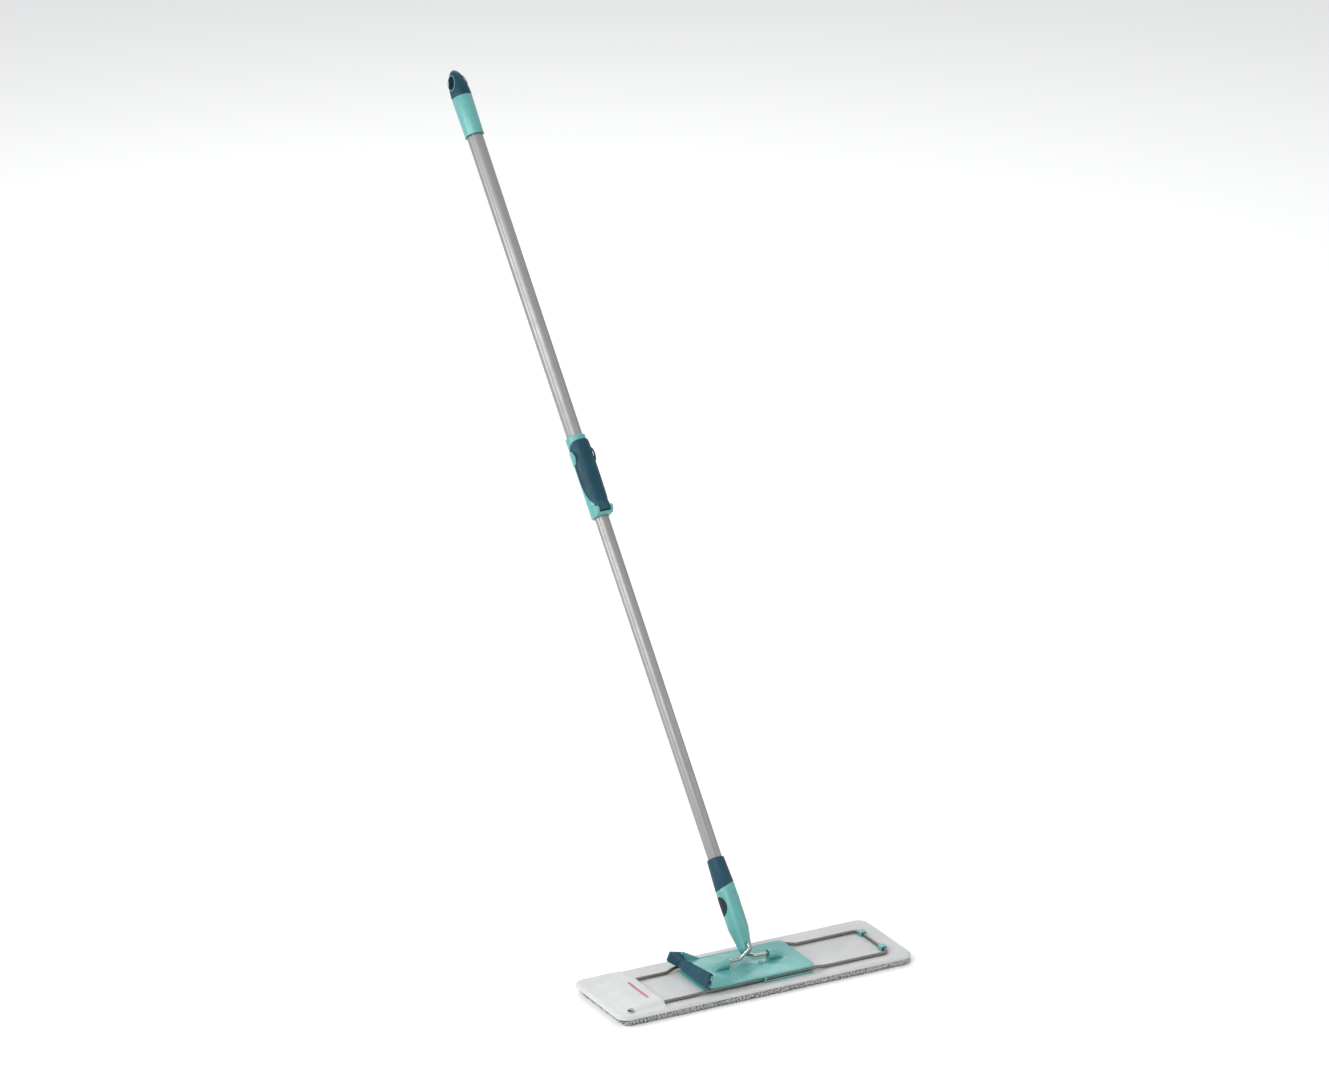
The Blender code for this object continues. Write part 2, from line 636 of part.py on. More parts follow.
def joint_cone(handle, teal):
    """Tapered socket that the spigot plugs into, down to the rounded tip that hangs on the bail."""
    bore = SPIGOT_RADIUS + RUNNING_GAP
    floor = SPLIT_HEIGHT - SPIGOT_LENGTH - 0.001
    tip = [(TIP_RADIUS * math.sin(t), TIP_HEIGHT - TIP_RADIUS * math.cos(t))
           for t in (math.radians(96 * i / 9) for i in range(10))]
    tip[0] = (0, TIP_HEIGHT - TIP_RADIUS)
    profile = tip + [
        (CONE_SHOULDER_RADIUS, CONE_SHOULDER_HEIGHT),
        (CONE_BELLY_RADIUS, CONE_BELLY_HEIGHT),
        (COLLAR_FOOT_RADIUS, SPLIT_HEIGHT),
        (bore, SPLIT_HEIGHT),
        (bore, floor),
        (0, floor),
    ]
    cone = add("joint_cone", turned(profile), teal, handle)
    slant(cone, SPLIT_HEIGHT)
    pocket = [(-0.03, y, BUTTON_HEIGHT + z)
              for y, z in oval(BUTTON_WIDTH + 2 * GAP, BUTTON_LENGTH + 2 * GAP)]
    depth = 0.03 - BUTTON_INNER + BUTTON_TRAVEL + 0.0003
    spring = rod(
        BUTTON_SPRING_RADIUS + BUTTON_SPRING_WIRE + GAP, BUTTON_SPRING_LENGTH + 0.0005,
        (1, 0, 0), (-BUTTON_INNER, 0, BUTTON_SPRING_HEIGHT), 20,
    )
    wire_hole = rod(WIRE_RADIUS + RUNNING_GAP, 0.04, (0, 1, 0), (0, -0.02, PIVOT_HEIGHT), 24)
    cut(
        cone,
        add("button_pocket", extruded(pocket, (depth, 0, 0)), None, handle),
        add("button_spring_pocket", spring, None, handle),
        add("bail_hole", wire_hole, None, handle),
    )


def release_button(handle, navy):
    """Oval push button, flush with the cone, which lets the spigot go."""
    outline = [(-BUTTON_INNER, y, BUTTON_HEIGHT + z) for y, z in oval(BUTTON_WIDTH, BUTTON_LENGTH)]
    button = add(
        "release_button", extruded(outline, (-0.008, 0, 0)), navy, handle, (-BUTTON_INNER, 0, BUTTON_HEIGHT)
    )
    crown = [(0.0, -0.02), (CONE_SHOULDER_RADIUS, -0.02), (CONE_BELLY_RADIUS, 0.0045), (CONE_BELLY_RADIUS, 0.02), (0, 0.02)]
    skin = add("button_skin", turned_about(crown, (0, 0, 1), (0, 0, BUTTON_HEIGHT)), None, handle)
    combine(button, skin, "INTERSECT")


def coil(centre, direction, radius, length, turns, steps=12):
    """Points along a helix whose ends lie flat enough to press on."""
    turn = Vector((0, 0, 1)).rotation_difference(Vector(direction)).to_matrix()
    count = turns * steps
    points = []
    for i in range(count + 1):
        angle = math.tau * i / steps
        spot = Vector((radius * math.cos(angle), radius * math.sin(angle), length * (i / count - 0.5)))
        points.append(Vector(centre) + turn @ spot)
    return points


def button_spring(handle, steel):
    clear = BUTTON_SPRING_WIRE + GAP
    middle = -BUTTON_INNER + BUTTON_SPRING_LENGTH / 2
    points = coil(
        (middle, 0, BUTTON_SPRING_HEIGHT), (1, 0, 0), BUTTON_SPRING_RADIUS,
        BUTTON_SPRING_LENGTH - 2 * clear, BUTTON_SPRING_TURNS,
    )
    wire("button_spring", points, steel, handle, BUTTON_SPRING_WIRE)


def bail_wire(axle, steel):
    """One bent wire: two journals on the axle line, two legs, and a crossing through the cone's tip."""
    leg = TIP_RADIUS + WIRE_RADIUS + 2 * GAP
    corners = [
        (-JOURNAL_END, 0, 0),
        (-BAIL_ELBOW, 0, 0),
        (0, -leg, PIVOT_HEIGHT - BAIL_BEND_DROP),
        (0, -leg, PIVOT_HEIGHT),
        (0, leg, PIVOT_HEIGHT),
        (0, leg, PIVOT_HEIGHT - BAIL_BEND_DROP),
        (BAIL_ELBOW, 0, 0),
        (JOURNAL_END, 0, 0),
    ]
    wire("bail_wire", filleted(corners, WIRE_RADIUS * 1.05, 4), steel, axle, origin=(0, 0, PIVOT_HEIGHT))


def socket(side):
    """Half-round hump that holds one journal and runs out into the deck."""
    rings = []
    for share, centre, radius in (
        (0.0, AXLE_HEIGHT - 0.0024, SOCKET_RADIUS),
        (0.3, AXLE_HEIGHT - 0.0030, SOCKET_RADIUS * 0.97),
        (0.65, AXLE_HEIGHT - 0.0062, SOCKET_RADIUS * 0.80),
        (1.0, DECK_TOP - 0.0030, SOCKET_RADIUS * 0.40),
    ):
        x = side * (SOCKET_FACE + SOCKET_LENGTH * share)
        rings.append([(x, y, centre + z) for y, z in oval(2 * radius, 2 * radius, 24)])
    return lofted(rings)


def cheek_left(side):
    return PLATE_LEFT + 0.0010 + (CHEEK_SETBACK if side > 0 else 0.0)


def cheek_top(side):
    return CHEEK_TOP - (CHEEK_DROP if side > 0 else 0.0)


def cheek(side):
    """Triangular wall that rises beside the pedal."""
    outside = side * PLATE_HALF_WIDTH
    left = cheek_left(side)
    top = cheek_top(side)
    foot = DECK_TOP - DECK_THICKNESS + 0.0004
    outline = [
        (left, outside, foot),
        (left + (0.0 if side > 0 else 0.0010), outside, PEDAL_PIN_HEIGHT + 0.0045),
        (left + 0.0032, outside, top - 0.0010),
        (left + 0.0050, outside, top),
        (left + CHEEK_RUN, outside, DECK_TOP - 0.0004),
        (left + CHEEK_RUN, outside, foot),
    ]
    return extruded(outline, (0, -side * CHEEK_THICKNESS, 0))


def centre_plate(head, teal):
    """Moulded plate: deck, channel walls for the wires, lips, sockets, cheeks and hinge bosses."""
    deck_bottom = DECK_TOP - DECK_THICKNESS
    outline = rounded_rectangle(PLATE_LEFT, PLATE_RIGHT, -PLATE_HALF_WIDTH, PLATE_HALF_WIDTH, PLATE_CORNER)
    deck = extruded([(x, y, deck_bottom) for x, y in outline], (0, 0, DECK_THICKNESS))
    plate = add("centre_plate", deck, teal, head)
    wire_space = PLATE_HALF_WIDTH - 2 * (WIRE_RADIUS + GAP) - 0.0012
    bottom = PLATE_BOTTOM
    deep = deck_bottom + 0.0008
    parts = []
    for side, word in ((-1, "front"), (1, "back")):
        wall = sorted((side * wire_space, side * (wire_space - WALL)))
        parts.append((f"channel_wall_{word}", block(
            (PLATE_LEFT + 0.006, wall[0], bottom), (PLATE_RIGHT - 0.004, wall[1], deep))))
        lip = sorted((side * (wire_space - WALL / 2), side * PLATE_HALF_WIDTH))
        parts.append((f"channel_lip_{word}", block(
            (HINGE_X, lip[0], bottom), (PLATE_RIGHT - 0.003, lip[1], bottom + LIP_THICKNESS), 0.0008)))
        boss = rod(HINGE_BOSS_RADIUS, PLATE_HALF_WIDTH + 0.0008 - HINGE_STUB_END + 0.003, (0, side, 0),
                   (HINGE_X, side * (HINGE_STUB_END - 0.003), FRAME_AT_PLATE), 20)
        parts.append((f"hinge_boss_{word}", boss))
        parts.append((f"cheek_{word}", cheek(side)))
    for x, word in ((PLATE_LEFT + 0.006, "left"), (PLATE_RIGHT - 0.004 - WALL, "right")):
        parts.append((f"end_wall_{word}", block(
            (x, -wire_space + WALL / 2, bottom), (x + WALL, wire_space - WALL / 2, deep))))
    parts.append(("left_lip", block(
        (PLATE_LEFT - 0.004, -wire_space + 0.0002, bottom + 0.0001),
        (PLATE_LEFT + 0.008, wire_space - 0.0002, bottom + LIP_THICKNESS), 0.0008)))
    for side, word in ((-1, "left"), (1, "right")):
        parts.append((f"axle_socket_{word}", socket(side)))
    parts.append(("peg", rod(PEG_RADIUS, PEG_HEIGHT + 0.001, (0, 0, 1), (*PEG_PLACE, DECK_TOP - 0.001), 20)))
    for name, shape in parts:
        join(plate, add(name, shape, None, head))
    cut_plate(plate, head, wire_space)


def cut_plate(plate, head, wire_space):
    bowl = (DIMPLE_RADIUS ** 2 + DIMPLE_DEPTH ** 2) / (2 * DIMPLE_DEPTH)
    half = math.asin(DIMPLE_RADIUS / bowl)
    profile = [(bowl * math.sin(half * i / 5), -bowl * math.cos(half * i / 5)) for i in range(6)]
    profile[0] = (0, -bowl)
    profile += [(DIMPLE_RADIUS, 0.01 - bowl * math.cos(half)), (0, 0.01 - bowl * math.cos(half))]
    place = (0, -DIMPLE_FRONT, DECK_TOP - DIMPLE_DEPTH + bowl)
    cut(plate, add("deck_dimple", turned_about(profile, (0, 0, 1), place, 32), None, head))
    for side, word in ((-1, "left"), (1, "right")):
        start = (side * (SOCKET_FACE - 0.003), 0, AXLE_HEIGHT)
        depth = JOURNAL_END - SOCKET_FACE + 0.003 + GAP
        bore = rod(WIRE_RADIUS + RUNNING_GAP, depth, (side, 0, 0), start, 24)
        cut(plate, add(f"journal_bore_{word}", bore, None, head))
    for side, word in ((-1, "front"), (1, "back")):
        start = (HINGE_X, side * (HINGE_STUB_END - GAP), FRAME_AT_PLATE)
        depth = wire_space + 0.0006 - HINGE_STUB_END
        bore = rod(WIRE_RADIUS + RUNNING_GAP, depth, (0, side, 0), start, 24)
        room = sorted((side * (wire_space + 0.0001), side * (PLATE_HALF_WIDTH + 0.01)))
        swing = block(
            (HINGE_X - 0.02, room[0], 0.0),
            (HINGE_X + WIRE_RADIUS + RUNNING_GAP, room[1], DECK_TOP - DECK_THICKNESS + 0.0002),
        )
        cut(
            plate,
            add(f"wing_room_{word}", swing, None, head),
            add(f"hinge_bore_{word}", bore, None, head),
        )
    pin = rod(PEDAL_PIN_RADIUS + GAP, 2 * PLATE_HALF_WIDTH - 0.003, (0, 1, 0),
              (PEDAL_PIN_X, 0.0015 - PLATE_HALF_WIDTH, PEDAL_PIN_HEIGHT), 16)
    cut(plate, add("pedal_pin_bore", pin, None, head))


def frame_side(direction, start, end, side):
    """Corner points of one long side of a wire frame, from the plate out to the frame's end."""
    y = side * (PLATE_HALF_WIDTH - WIRE_RADIUS - 0.0010)
    out = side * FRAME_HALF_WIDTH
    kink = PLATE_RIGHT + 0.003 if direction > 0 else PLATE_LEFT - 0.004
    return [
        (start, y, FRAME_AT_PLATE),
        (kink, y, FRAME_AT_PLATE),
        (kink + direction * KINK_LENGTH, out, FRAME_HEIGHT),
        (end, out, FRAME_HEIGHT),
    ]


def wire_frames(head, left_wing, steel):
    """The fixed right frame, and the left frame that hinges on its own bent-in ends."""
    start = HINGE_X + HINGE_BOSS_RADIUS + 0.0006
    front = frame_side(1, start, FRAME_RIGHT, -1)
    back = frame_side(1, start, FRAME_RIGHT, 1)
    wire("right_frame", filleted(front + back[::-1], FRAME_CORNER), steel, head)
    front = frame_side(-1, HINGE_X, FRAME_LEFT, -1)
    back = frame_side(-1, HINGE_X, FRAME_LEFT, 1)
    stubs = [(HINGE_X, side * HINGE_STUB_END, FRAME_AT_PLATE) for side in (-1, 1)]
    path = [stubs[0]] + front + back[::-1] + [stubs[1]]
    rounded = filleted(path[:3], WIRE_RADIUS * 1.05, 4)[:-1]
    rounded += filleted(path[1:-1], FRAME_CORNER)[1:-1]
    rounded += filleted(path[-3:], WIRE_RADIUS * 1.05, 4)[1:]
    wire("left_frame", rounded, steel, left_wing, origin=(HINGE_X, 0, FRAME_AT_PLATE))


def cover_clips(head, teal):
    """Two clips that hold the cover's free end to the right frame's crossbar."""
    for place, word in zip(CLIP_PLACES, ("back", "front")):
        body = block(
            (FRAME_RIGHT - CLIP_HALF_WIDTH, place - CLIP_LENGTH / 2, BACKING_TOP + GAP),
            (FRAME_RIGHT + CLIP_HALF_WIDTH, place + CLIP_LENGTH / 2, CLIP_TOP),
            0.0010,
        )
        clip = add(f"cover_clip_{word}", body, teal, head)
        groove = rod(WIRE_RADIUS + GAP, 0.03, (0, 1, 0), (FRAME_RIGHT, place - 0.015, FRAME_HEIGHT), 24)
        mouth = block(
            (FRAME_RIGHT - WIRE_RADIUS, place - 0.015, BACKING_TOP - 0.002),
            (FRAME_RIGHT + WIRE_RADIUS, place + 0.015, FRAME_HEIGHT - 0.0005),
        )
        cut(
            clip,
            add(f"clip_groove_{word}", groove, None, head),
            add(f"clip_mouth_{word}", mouth, None, head),
        )


def pedal_section(y, crest, foot, reach, fall):
    """Points round the pedal at one place along it. crest and foot are (x, height) of its outer face."""
    return [
        (foot[0], y, foot[1]),
        (crest[0] - 0.0002, y, crest[1] - 0.0026),
        (crest[0] + 0.0014, y, crest[1]),
        (crest[0] + reach, y, crest[1] - fall),
        (crest[0] + reach - 0.0010, y, crest[1] - fall - 0.0024),
        (crest[0] + PEDAL_PANEL, y, crest[1] - 0.0048),
        (foot[0] + PEDAL_PANEL, y, foot[1] + 0.0004),
    ]


def pedal(head, navy):
    """Foot pedal: a leaning panel whose rolled crest falls towards the back, and a press pad past the cheek."""
    inside = PLATE_HALF_WIDTH - CHEEK_THICKNESS - GAP
    past = PLATE_HALF_WIDTH + 0.0010
    crest = (PEDAL_FACE, PEDAL_CREST)
    dip = (PEDAL_FACE, PEDAL_DIP)
    foot = (PEDAL_FOOT_OUT, PEDAL_FOOT)
    pad_crest = (PEDAL_PAD_OUT, PEDAL_PAD_TOP)
    pad_foot = (PEDAL_PAD_FOOT_OUT, PEDAL_PAD_FOOT)
    rounding = PEDAL_PAD_ROUNDING
    rings = [
        pedal_section(-inside, crest, foot, PEDAL_LEDGE, PEDAL_LEDGE_FALL),
        pedal_section(inside - 0.0110, dip, foot, PEDAL_LEDGE, PEDAL_LEDGE_FALL),
        pedal_section(past, pad_crest, pad_foot, PEDAL_PAD_LENGTH, PEDAL_PAD_FALL),
        pedal_section(
            PEDAL_BACK - rounding / 2, (pad_crest[0], pad_crest[1] - rounding * 0.15),
            (pad_foot[0], pad_foot[1] + rounding * 0.15), PEDAL_PAD_LENGTH - rounding * 0.1, PEDAL_PAD_FALL,
        ),
        pedal_section(
            PEDAL_BACK, (pad_crest[0] + rounding * 0.4, pad_crest[1] - rounding * 0.8),
            (pad_foot[0] + rounding * 0.5, pad_foot[1] + rounding * 0.4), PEDAL_PAD_LENGTH - rounding, PEDAL_PAD_FALL / 2,
        ),
    ]
    hinge = (PEDAL_PIN_X, 0, PEDAL_PIN_HEIGHT)
    panel = add("pedal", lofted(rings), navy, head, hinge)
    low = PEDAL_PIN_HEIGHT - PEDAL_WEB_DROP
    high = PEDAL_PIN_HEIGHT + PEDAL_WEB_RISE
    web_outline = [
        (PEDAL_FOOT_OUT + 0.0030, low),
        (PEDAL_PIN_X - 0.0038, low),
        (PEDAL_PIN_X - 0.0006, low - 0.0026),
        (PEDAL_PIN_X + 0.0030, low - 0.0026),
        (PEDAL_PIN_X + 0.0030, high),
        (PEDAL_FOOT_OUT + 0.0046, high),
    ]
    web = extruded([(x, -PEDAL_WEB_HALF, z) for x, z in web_outline], (0, 2 * PEDAL_WEB_HALF, 0))
    join(panel, add("pedal_web", web, None, head))
    room = block(
        (cheek_left(1) - GAP, inside, 0.0), (PEDAL_PIN_X + 0.03, PLATE_HALF_WIDTH + GAP, cheek_top(1) + 0.0008)
    )
    spring_room = block(
        (PEDAL_PIN_X - 0.006, -0.006, PEDAL_PIN_HEIGHT - 0.005),
        (PEDAL_PIN_X + 0.006, 0.006, PEDAL_PIN_HEIGHT + 0.006),
    )
    bore = rod(PEDAL_PIN_RADIUS + GAP, 0.2, (0, 1, 0), (PEDAL_PIN_X, -0.1, PEDAL_PIN_HEIGHT), 16)
    cut(
        panel,
        add("pedal_cheek_room", room, None, head),
        add("pedal_spring_room", spring_room, None, head),
        add("pedal_bore", bore, None, head),
    )
    return panel


def pedal_pin(head, steel):
    half = PLATE_HALF_WIDTH - 0.0020
    add("pedal_pin", rod(PEDAL_PIN_RADIUS, 2 * half, (0, 1, 0), (PEDAL_PIN_X, -half, PEDAL_PIN_HEIGHT), 16), steel, head)


def pedal_spring(head, steel):
    """Torsion spring round the pin, in the pedal's slot."""
    points = coil((PEDAL_PIN_X, 0, PEDAL_PIN_HEIGHT), (0, 1, 0), PEDAL_SPRING_RADIUS, 0.0090, PEDAL_SPRING_TURNS)
    wire("pedal_spring", points, steel, head, PEDAL_SPRING_WIRE)


def slab(inset, low, high, steps=5):
    outline = rounded_rectangle(
        COVER_LEFT + inset, COVER_RIGHT - inset, COVER_FRONT + inset, COVER_BACK - inset,
        COVER_CORNER - inset, steps,
    )
    return extruded([(x, y, low) for x, y in outline], (0, 0, high - low))


def cover(head, white):
    """Pile that wipes the floor and the woven backing above it."""
    add("cover_pile", slab(0.0, 0.0, PILE_THICKNESS), white, head)
    backing = add("cover_backing", slab(0.0010, BACKING_TOP - BACKING_THICKNESS, BACKING_TOP), white, head)
    hole = rod(EYELET_INNER + EYELET_FLANGE + GAP, 0.03, (0, 0, 1), (*EYELET_PLACE, PILE_THICKNESS), 24)
    cut(backing, add("backing_hole", hole, None, head))


def pocket_lift(x, y):
    """Height of the pocket's lower side above the backing: clear of the wire inside, down at the seams."""
    clear = FRAME_HEIGHT + WIRE_RADIUS - BACKING_TOP
    half = FRAME_HALF_WIDTH + WIRE_RADIUS + 0.0015
    left = FRAME_LEFT - WIRE_RADIUS - 0.0015
    outside = max(abs(y) - half, left - x, 0.0)
    share = max(0.0, 1 - outside / POCKET_SLOPE)
    return GAP + clear * share


def pocket_flap(left_wing, white):
    """Cloth pocket sewn on the backing, which slips over the left frame's end."""
    shape = bmesh.new()
    inset = COVER_CORNER * 0.31
    half = FRAME_HALF_WIDTH + WIRE_RADIUS + 0.0015
    left = FRAME_LEFT - WIRE_RADIUS - 0.0015
    columns = [COVER_LEFT + inset, left - POCKET_SLOPE, left, (left + POCKET_MOUTH) / 2, POCKET_MOUTH]
    rows = [COVER_FRONT + inset, -half - POCKET_SLOPE, -half, 0.0, half, half + POCKET_SLOPE, COVER_BACK - inset]
    under = [[shape.verts.new((x, y, BACKING_TOP + pocket_lift(x, y))) for x in columns] for y in rows]
    over = [[shape.verts.new((v.co.x, v.co.y, v.co.z + POCKET_CLOTH)) for v in row] for row in under]
    last_row = len(rows) - 1
    last_column = len(columns) - 1
    for j in range(last_row):
        for i in range(last_column):
            for layer in (under, over):
                shape.faces.new((layer[j][i], layer[j][i + 1], layer[j + 1][i + 1], layer[j + 1][i]))
    for j in range(last_row):
        for i in (0, last_column):
            shape.faces.new((under[j][i], under[j + 1][i], over[j + 1][i], over[j][i]))
    for i in range(last_column):
        for j in (0, last_row):
            shape.faces.new((under[j][i], under[j][i + 1], over[j][i + 1], over[j][i]))
    flap = add("pocket_flap", shape, white, left_wing, (HINGE_X, 0, FRAME_AT_PLATE))
    hole = rod(EYELET_INNER + EYELET_FLANGE + GAP, 0.03, (0, 0, 1), (*EYELET_PLACE, PILE_THICKNESS), 24)
    cut(flap, add("pocket_hole", hole, None, left_wing))


def eyelet(left_wing, steel):
    """Pressed ring through the pocket and the backing, to hang the cover up by."""
    top = BACKING_TOP + GAP + POCKET_CLOTH + GAP
    bottom = PILE_THICKNESS + GAP
    barrel = EYELET_INNER + EYELET_FLANGE
    profile = [
        (EYELET_INNER, bottom),
        (barrel, bottom),
        (barrel, top),
        (EYELET_OUTER, top),
        (EYELET_OUTER - 0.0006, top + EYELET_FLANGE),
        (EYELET_INNER + 0.0006, top + EYELET_FLANGE),
        (EYELET_INNER, top + EYELET_FLANGE - 0.0005),
    ]
    ring = turned(profile, 24, hollow=True)
    bmesh.ops.translate(ring, vec=(*EYELET_PLACE, 0), verts=ring.verts)
    add("eyelet", ring, steel, left_wing)


def main():
    clear_scene()
    teal = material("teal plastic", (0.115, 0.430, 0.400), 0.38)
    navy = material("navy plastic", (0.018, 0.070, 0.110), 0.42)
    satin = material("satin tube", (0.50, 0.49, 0.47), 0.35, 0.9)
    steel = material("steel wire", (0.30, 0.28, 0.25), 0.35, 1.0)
    dark = material("guide plastic", (0.05, 0.05, 0.055), 0.5)
    rubber = material("grey rubber", (0.09, 0.09, 0.09), 0.8)
    white = material("white cloth", (0.78, 0.78, 0.78), 0.95)

    axle = empty("handle_axis", (0, 0, AXLE_HEIGHT))
    axle.rotation_euler = (-HANDLE_LEAN, 0, 0)
    pivot = empty("bail_pivot", (0, 0, PIVOT_HEIGHT), axle)
    pivot.rotation_euler = (0, -HANDLE_SIDEWAYS, 0)
    handle = empty("handle", (0, 0, -PIVOT_HEIGHT), pivot)
    upper_tube(handle, satin)
    grip_sleeve(handle, teal)
    hang_cap(handle, navy)
    clamp_housing(handle, teal)
    clamp_lever(handle, navy)
    lever_pin(handle, steel)
    friction_pad(handle, rubber)
    lower_tube(handle, satin)
    guide_bush(handle, dark)
    tube_collar(handle, navy)
    joint_cone(handle, teal)
    release_button(handle, navy)
    button_spring(handle, steel)
    bail_wire(axle, steel)

    head = empty("head")
    left_wing = empty("left_wing")
    centre_plate(head, teal)
    wire_frames(head, left_wing, steel)
    cover_clips(head, teal)
    pedal(head, navy)
    pedal_pin(head, steel)
    pedal_spring(head, steel)
    cover(head, white)
    pocket_flap(left_wing, white)
    eyelet(left_wing, steel)


main()
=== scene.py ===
import math
import random

import bmesh
import bpy
from mathutils import Matrix, Vector


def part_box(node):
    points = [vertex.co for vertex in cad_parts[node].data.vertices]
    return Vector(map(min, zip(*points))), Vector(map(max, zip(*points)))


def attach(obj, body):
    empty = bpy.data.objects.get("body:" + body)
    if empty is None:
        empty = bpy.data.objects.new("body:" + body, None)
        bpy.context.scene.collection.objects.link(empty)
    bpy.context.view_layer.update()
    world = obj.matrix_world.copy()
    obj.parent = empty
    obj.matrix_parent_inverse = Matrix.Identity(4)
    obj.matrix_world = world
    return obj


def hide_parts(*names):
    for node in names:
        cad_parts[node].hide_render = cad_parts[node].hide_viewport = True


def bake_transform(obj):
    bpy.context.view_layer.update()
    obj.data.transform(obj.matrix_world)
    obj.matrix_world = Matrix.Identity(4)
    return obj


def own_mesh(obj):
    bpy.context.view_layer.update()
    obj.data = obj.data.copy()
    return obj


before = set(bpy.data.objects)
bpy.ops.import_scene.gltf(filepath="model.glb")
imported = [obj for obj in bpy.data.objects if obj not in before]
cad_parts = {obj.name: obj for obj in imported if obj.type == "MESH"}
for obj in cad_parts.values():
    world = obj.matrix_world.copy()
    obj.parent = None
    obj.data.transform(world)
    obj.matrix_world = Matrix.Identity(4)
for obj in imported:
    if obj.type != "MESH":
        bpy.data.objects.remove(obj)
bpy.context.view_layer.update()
random.seed(7)

# how the handle stands: leaned back about the axle, and hung a little sideways on its wire
handle = {"lean": -37.7, "sideways": -1.2, "axleHeight": 0.036, "wirePivot": 0.017}
leanTurn = Matrix.Rotation(math.radians(handle["lean"]), 4, "X")
sideTurn = Matrix.Rotation(math.radians(handle["sideways"]), 4, "Y")
handlePlace = (
    Matrix.Translation((0, 0, handle["axleHeight"])) @ leanTurn
    @ Matrix.Translation((0, 0, handle["wirePivot"])) @ sideTurn
    @ Matrix.Translation((0, 0, -handle["wirePivot"]))
)
handleTurn = handlePlace.to_euler("XYZ")


def deselectAll():
    if bpy.context.object and bpy.context.object.mode != "OBJECT":
        bpy.ops.object.mode_set(mode="OBJECT")
    bpy.ops.object.select_all(action="DESELECT")


def takeUp(piece):
    deselectAll()
    piece.select_set(True)
    bpy.context.view_layer.objects.active = piece
    return piece


def editAll(piece):
    takeUp(piece)
    bpy.ops.object.mode_set(mode="EDIT")
    bpy.ops.mesh.select_mode(type="FACE")
    bpy.ops.mesh.select_all(action="SELECT")


def backToObject():
    bpy.ops.object.mode_set(mode="OBJECT")


def addModifier(piece, kind, **settings):
    takeUp(piece)
    modifier = piece.modifiers.new(kind.title(), kind)
    for name, value in settings.items():
        setattr(modifier, name, value)
    bpy.ops.object.modifier_apply(modifier=modifier.name)


def smooth(piece, angle=35):
    takeUp(piece)
    bpy.ops.object.shade_smooth_by_angle(angle=math.radians(angle))


def finishPiece(piece, name, body, slotName, surface, *nodes):
    piece.name = name
    piece.data.name = name
    takeUp(piece)
    bpy.ops.object.transform_apply(location=True, rotation=True, scale=True)
    piece.data.materials.clear()
    piece.data.materials.append(surface)
    if body:
        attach(piece, body)
    if nodes:
        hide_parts(*nodes)
    return piece


def startMaterial(name, roughness, metallic=0.0, specular=0.5):
    surface = bpy.data.materials.new(name)
    surface.use_nodes = True
    shader = surface.node_tree.nodes["Principled BSDF"]
    shader.inputs["Roughness"].default_value = roughness
    shader.inputs["Metallic"].default_value = metallic
    shader.inputs["Specular IOR Level"].default_value = specular
    return surface, surface.node_tree.nodes, surface.node_tree.links, shader


def objectPlace(nodes, links, turn=(0, 0, 0), stretch=(1, 1, 1)):
    coordinates = nodes.new("ShaderNodeTexCoord")
    mapping = nodes.new("ShaderNodeMapping")
    mapping.vector_type = "TEXTURE"
    mapping.inputs["Rotation"].default_value = turn
    mapping.inputs["Scale"].default_value = stretch
    links.new(coordinates.outputs["Object"], mapping.inputs["Vector"])
    return mapping.outputs["Vector"]


def noiseAt(nodes, links, place, scale, detail=3.0, roughness=0.5):
    noise = nodes.new("ShaderNodeTexNoise")
    noise.inputs["Scale"].default_value = scale
    noise.inputs["Detail"].default_value = detail
    noise.inputs["Roughness"].default_value = roughness
    links.new(place, noise.inputs["Vector"])
    return noise.outputs["Fac"]


def rangeOf(nodes, links, value, low, high, lowTo, highTo):
    scale = nodes.new("ShaderNodeMapRange")
    scale.inputs["From Min"].default_value = low
    scale.inputs["From Max"].default_value = high
    scale.inputs["To Min"].default_value = lowTo
    scale.inputs["To Max"].default_value = highTo
    links.new(value, scale.inputs["Value"])
    return scale.outputs["Result"]


def mixColours(nodes, links, share, first, second, blend="MIX"):
    mix = nodes.new("ShaderNodeMix")
    mix.data_type = "RGBA"
    mix.blend_type = blend
    for socket, colour in ((mix.inputs[6], first), (mix.inputs[7], second)):
        if hasattr(colour, "node"):
            links.new(colour, socket)
        else:
            socket.default_value = (*colour, 1)
    if hasattr(share, "node"):
        links.new(share, mix.inputs[0])
    else:
        mix.inputs[0].default_value = share
    return mix.outputs[2]


def sumOf(nodes, links, *values):
    total = values[0]
    for value in values[1:]:
        add = nodes.new("ShaderNodeMath")
        add.operation = "ADD"
        links.new(total, add.inputs[0])
        links.new(value, add.inputs[1])
        total = add.outputs[0]
    return total


def product(nodes, links, value, factor):
    multiply = nodes.new("ShaderNodeMath")
    multiply.operation = "MULTIPLY"
    links.new(value, multiply.inputs[0])
    if hasattr(factor, "node"):
        links.new(factor, multiply.inputs[1])
    else:
        multiply.inputs[1].default_value = factor
    return multiply.outputs[0]


def bumpFrom(nodes, links, shader, height, distance, strength=1.0):
    bump = nodes.new("ShaderNodeBump")
    bump.inputs["Distance"].default_value = distance
    bump.inputs["Strength"].default_value = strength
    links.new(height, bump.inputs["Height"])
    links.new(bump.outputs["Normal"], shader.inputs["Normal"])


